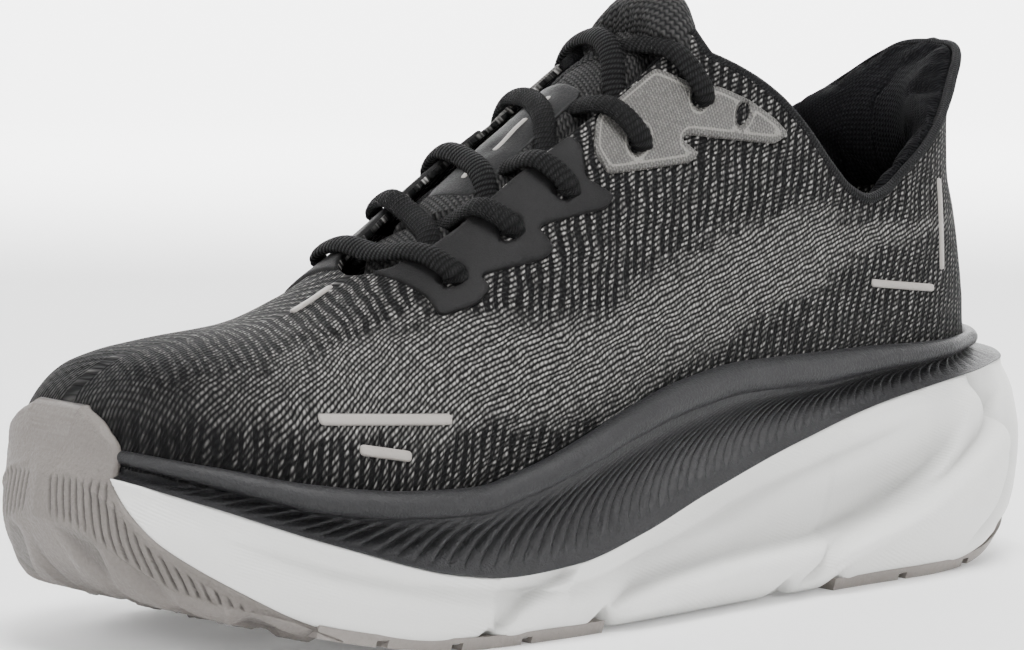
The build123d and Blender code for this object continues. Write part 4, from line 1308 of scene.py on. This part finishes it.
def make_marks():
    """Plain raised bars at the forefoot, the vamp and the heel."""
    bars = {"forefoot_marks": [((-104, 57.2), (-71, 55.4), 2.6), ((-96, 50.0), (-83.5, 47.6), 2.6)],
            "heel_marks": [((74, 78.5), (99, 75.5), 2.0), ((103.5, 80), (104.5, 104), 2.0)]}
    for node, rows in bars.items():
        for side, word in ((1, "lateral"), (-1, "medial")):
            for number, (start, end, width) in enumerate(rows):
                piece = make_film(f"{node}_{word}_{number + 1}", bar_outline(start, end, width),
                                  lambda u, v, lift, side=side: on_side(u, v, side, lift),
                                  "shoe", TRIM, 0.55, 0.7, -0.4, spacing=0.8)
                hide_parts(node)
    piece = make_film("vamp_bar", bar_outline((-84, 1.5), (-71, -1.0), 2.0), lifted,
                      "shoe", TRIM, 0.5, 0.6, -0.4, spacing=0.8)
    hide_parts("vamp_mark")


# ---------------------------------------------------------------- collar
def rim_chart(count):
    """The collar's rim as (theta, z), in even steps from the outer corner by the heel to the inner one."""
    edge = topline()
    points = on_level(edge[:, 0], edge[:, 1])
    start = np.argmax(points[:, 1] > 12)
    edge, points = edge[start:], points[start:]
    walk = np.concatenate([[0], np.cumsum(np.linalg.norm(np.diff(points, axis=0), axis=1))])
    even = np.linspace(0, walk[-1], count // 2 + 1)
    theta, z = np.interp(even, walk, edge[:, 0]), np.interp(even, walk, edge[:, 1])
    return (np.concatenate([theta, 2 * np.pi - theta[-2::-1]]), np.concatenate([z, z[-2::-1]]),
            np.concatenate([even, 2 * walk[-1] - even[-2::-1]]))


def make_collar():
    count = 520
    theta, z, walk = rim_chart(count)
    y = on_level(theta, z)[:, 1]
    fill = smooth(y, 22, 62)
    # each section: inset from the skin and height against the rim, for the thin front and the padded back
    thin = [(1.5, -7), (1.7, -3), (1.8, -1.0), (2.3, -0.4), (3.0, -0.5), (3.3, -1.6), (3.4, -4), (3.4, -7),
            (3.3, -10), (3.2, -12), (2.6, -13), (1.9, -12), (1.6, -11), (1.5, -10), (1.5, -9), (1.5, -8)]
    full = [(1.6, -9), (1.7, -3.5), (2.0, -1.2), (3.2, 0.2), (5.6, 0.3), (8.2, -1.6), (10.2, -6), (11, -13),
            (10.6, -21), (9.0, -29), (6.2, -35), (3.6, -40), (2.0, -37), (1.8, -30), (1.8, -22), (1.7, -14)]
    t = np.linspace(0, len(thin) - 1, 60)
    sections = []
    for shape in (thin, full):
        inset = curve(list(enumerate([p[0] for p in shape])))(t)
        drop = np.interp(t, range(len(shape)), [p[1] for p in shape])
        for _ in range(4):
            drop[1:-1] = drop[1:-1] * 0.5 + (drop[2:] + drop[:-2]) * 0.25
        sections.append((inset, drop))
    wrinkle = wave_noise(walk[:, None] / 13, t[None] / 5, 41, 2) * 0.35
    (thin_inset, thin_drop), (full_inset, full_drop) = sections
    full_share = fill[:, None]
    inset = thin_inset[None] * (1 - full_share) + full_inset[None] * full_share + wrinkle * full_share
    drop = thin_drop[None] * (1 - full_share) + full_drop[None] * full_share
    points = on_level(theta[:, None] + 0 * inset, z[:, None] + drop, inset)
    verts, faces = tube_grid(points)
    piece = make_mesh("collar_pad", verts, faces, "shoe", LINING)
    add_weave(piece, walk[:, None], drop)
    face_outward(piece)
    against = (inset < 2.4) | (fill < 0.1)[:, None]
    swell(piece, np.concatenate([against.ravel(), [True, True]]), 20, 0.06, 1.4)
    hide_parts("collar_foam", "collar_lining")
    # the rolled binding over the knit's cut edge
    around = np.linspace(0, 2 * np.pi, 16, endpoint=False)
    middle = on_level(theta, z, 1.0)
    up = unit(on_level(theta, z + 1, 1.0) - middle)
    tangent = unit(np.gradient(middle, axis=0))
    out = unit(np.cross(tangent, up))
    tube = (middle[:, None] + out[:, None] * (1.45 * np.cos(around))[None, :, None]
            + up[:, None] * (1.5 * np.sin(around) + 0.2)[None, :, None])
    verts, faces = tube_grid(tube)
    piece = make_mesh("collar_piping", verts, faces, "shoe", PIPING_CLOTH)
    add_weave(piece, walk[:, None], (around * 1.4)[None])
    face_outward(piece)
    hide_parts("collar_binding")


# ---------------------------------------------------------------- inside the shoe
UNDER_RINGS, OVER_RINGS = (0.03, 0.5, 0.97), (1.0, 0.97, 0.9, 0.7, 0.45, 0.2, 0.03)


def make_inside():
    theta = np.linspace(0, 2 * np.pi, 240, endpoint=False)
    for name, node, body, inset, low, high, material, slot_name in (
            ("sock_sheet", "sockliner", "sockliner", 4.6, 0.3, 4.5, SOCK_CLOTH, "sock_textile"),
            ("insole_board", "strobel_board", "shoe", 1.9, -1.5, -0.1, BOARD_CLOTH, "board")):
        rows = []
        for level_lift, shrinks in ((low, UNDER_RINGS), (high, OVER_RINGS)):
            for shrink in shrinks:
                ring = on_level(theta, np.full(240, 46.0), inset)
                if node == "sockliner":
                    ring[:, 1] = np.where(ring[:, 1] > 60, 60 + (ring[:, 1] - 60) * 0.88, ring[:, 1])
                centre_x = UPPER_MID(np.minimum(ring[:, 1], 110))
                ring[:, 0] = centre_x + (ring[:, 0] - centre_x) * shrink
                ring[:, 1] = -8 + (ring[:, 1] + 8) * (0.02 + 0.98 * shrink)
                edge_round = -0.8 if shrink == 1.0 else 0
                ring[:, 2] = FOOTBED(ring[:, 1]) + level_lift + edge_round
                rows.append(ring)
        verts, faces = tube_grid(np.array(rows))
        piece = make_mesh(name, verts, faces, body, material)
        face_outward(piece)
        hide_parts(node)


# ---------------------------------------------------------------- toe guard
_skin_theta = np.linspace(0, np.pi / 2, 900)
_skin_loop = on_level(_skin_theta, np.full(900, 52.0))
_skin_walk = np.concatenate([[0], np.cumsum(np.linalg.norm(np.diff(_skin_loop, axis=0), axis=1))])
GUARD_REACH, GUARD_BACK = 80.0, -111.0


def guard_surface(columns, side_rows, under_rows):
    """The guard's skin: from its top edge down the sole's side, then back under the toe."""
    s = np.linspace(-GUARD_REACH, GUARD_REACH, columns)
    away = np.abs(s)
    theta = theta_at(s)
    y0 = -HALF + LENGTH * (1 - np.cos(theta)) / 2
    top, bottom = GUARD_TOP(away), np.minimum(GROUND(y0) + 1.5, GUARD_TOP(away) - 1.0)
    v = np.linspace(0, 1, side_rows)[:, None]
    z = top[None] + (bottom - top)[None] * v
    on_sole = sole_level(theta[None] + 0 * z, z)
    skin_theta = np.sign(s)[None] * np.interp(away[None] + 0 * z, _skin_walk, _skin_theta)
    share = smooth(z, 41, 54)[..., None]
    side = on_sole * (1 - share) + on_level(skin_theta, z, -2.0) * share
    rim = side[-1]
    goal = np.array([SOLE_MID(GUARD_BACK), GUARD_BACK, 0.0])
    under = []
    for u in np.linspace(0, 1, under_rows + 1)[1:] ** 1.15:
        ring = rim * (1 - 0.97 * u) + goal * 0.97 * u
        ring[:, 2] = GROUND(ring[:, 1]) + 1.5 * (1 - smooth(u, 0, 0.12)) + 0.2
        ring[:, 2] = np.minimum(ring[:, 2], rim[:, 2] + 0.5 * u)
        under.append(ring)
    points = np.concatenate([side, np.array(under)])
    for _ in range(3):
        points[2:-1] = points[2:-1] * 0.5 + (points[3:] + points[1:-2]) * 0.25
    depth = np.concatenate([v[:, 0], 1 + np.linspace(0, 1, under_rows + 1)[1:]])
    return s, points, np.repeat(depth[:, None], columns, 1)


def make_guard():
    columns, side_rows, under_rows = 860, 150, 60
    s, points, depth = guard_surface(columns, side_rows, under_rows)
    rows = len(points)
    away = np.abs(s)[None] + 0 * depth
    z = points[..., 2]
    top = GUARD_TOP(np.abs(s))[None] + 0 * z
    normal = grid_normals(points)
    normal = normal * np.sign(np.sum(normal * (points - [-8, -60, 60]), -1).mean())
    to_edge = np.minimum((top - z) * 0.85 + 6 * (depth > 1), GUARD_REACH - away)
    round_edge = -1.6 * (1 - np.clip(to_edge / 1.7, 0, 1)) ** 2
    fan = away - 5 * np.clip((45 - z) / 26, 0, 1.5) ** 1.5
    groove = (0.5 + 0.5 * np.cos(2 * np.pi * fan / 2.3)) ** 4
    where = smooth(fan, 3, 5) * smooth(44 - z, 0, 2) * smooth(top - z, 2.6, 4.0)
    where = where * (1 - smooth(depth, 0.86, 0.98))
    brow = np.exp(-(z - 45.5 + 0.012 * away ** 2) ** 2) * smooth(away, 5, 9) * smooth(top - z, 2.5, 5)
    stipple = wave_noise(s[None] / 0.55 + 0 * z, depth * 90, 77, 1)
    ripple = np.sin(s[None] / 5.2 + 1.2 * np.sin(depth * 4)) * np.cos(depth * 11 - away / 9)
    lugs = np.clip(3 * ripple, -1, 1)
    low = smooth(depth, 0.93, 1.06) * smooth(away, 4, 12) * (1 - smooth(depth, 1.85, 2.0))
    out = 0.6 + round_edge - 0.55 * groove * where + 0.07 * stipple + 0.45 * brow + 0.9 * lugs * low
    outer = points + normal * out[..., None]
    inner = points - normal * 1.7
    verts = np.concatenate([outer.reshape(-1, 3), inner.reshape(-1, 3)])
    front = grid_faces(rows, columns)
    shift = rows * columns
    ring = ([(0, c) for c in range(columns)] + [(r, columns - 1) for r in range(1, rows)]
            + [(rows - 1, c) for c in range(columns - 2, -1, -1)] + [(r, 0) for r in range(rows - 2, 0, -1)])
    index = [r * columns + c for r, c in ring]
    walls = [(index[k], index[k - 1], index[k - 1] + shift, index[k] + shift) for k in range(len(index))]
    faces = np.concatenate([front, front[:, ::-1] + shift, np.array(walls)])
    piece = make_mesh("toe_guard", verts, faces, "shoe", GUARD_RUBBER)
    # painted shade in the guard's rib grooves and on the sunken sides of its lugs
    shade = np.clip(groove * where + 0.6 * np.clip(-lugs, 0, 1) * low, 0, 1)
    add_attribute(piece, "shade", np.concatenate([shade.ravel(), 0 * shade.ravel()]), "FLOAT")
    face_outward(piece)
    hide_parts("outsole_toe")
    return piece


def dress_pads():
    for node in ("outsole_forefoot_lateral", "outsole_forefoot_medial", "outsole_forefoot_center",
                 "outsole_heel_lateral", "outsole_heel_medial"):
        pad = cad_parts[node]
        pad.data.materials.clear()
        pad.data.materials.append(RUBBER)
    for node in ("toe_puff", "heel_counter"):
        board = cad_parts[node]
        board.data.materials.clear()
        board.data.materials.append(BOARD_CLOTH)


make_camera()
make_stage()
make_midsole()
make_frame()
make_guard()
make_upper()
make_eyestays()
make_marks()
make_collar()
make_tongue()
make_tongue_roll()
make_label()
make_lace()
make_inside()
dress_pads()
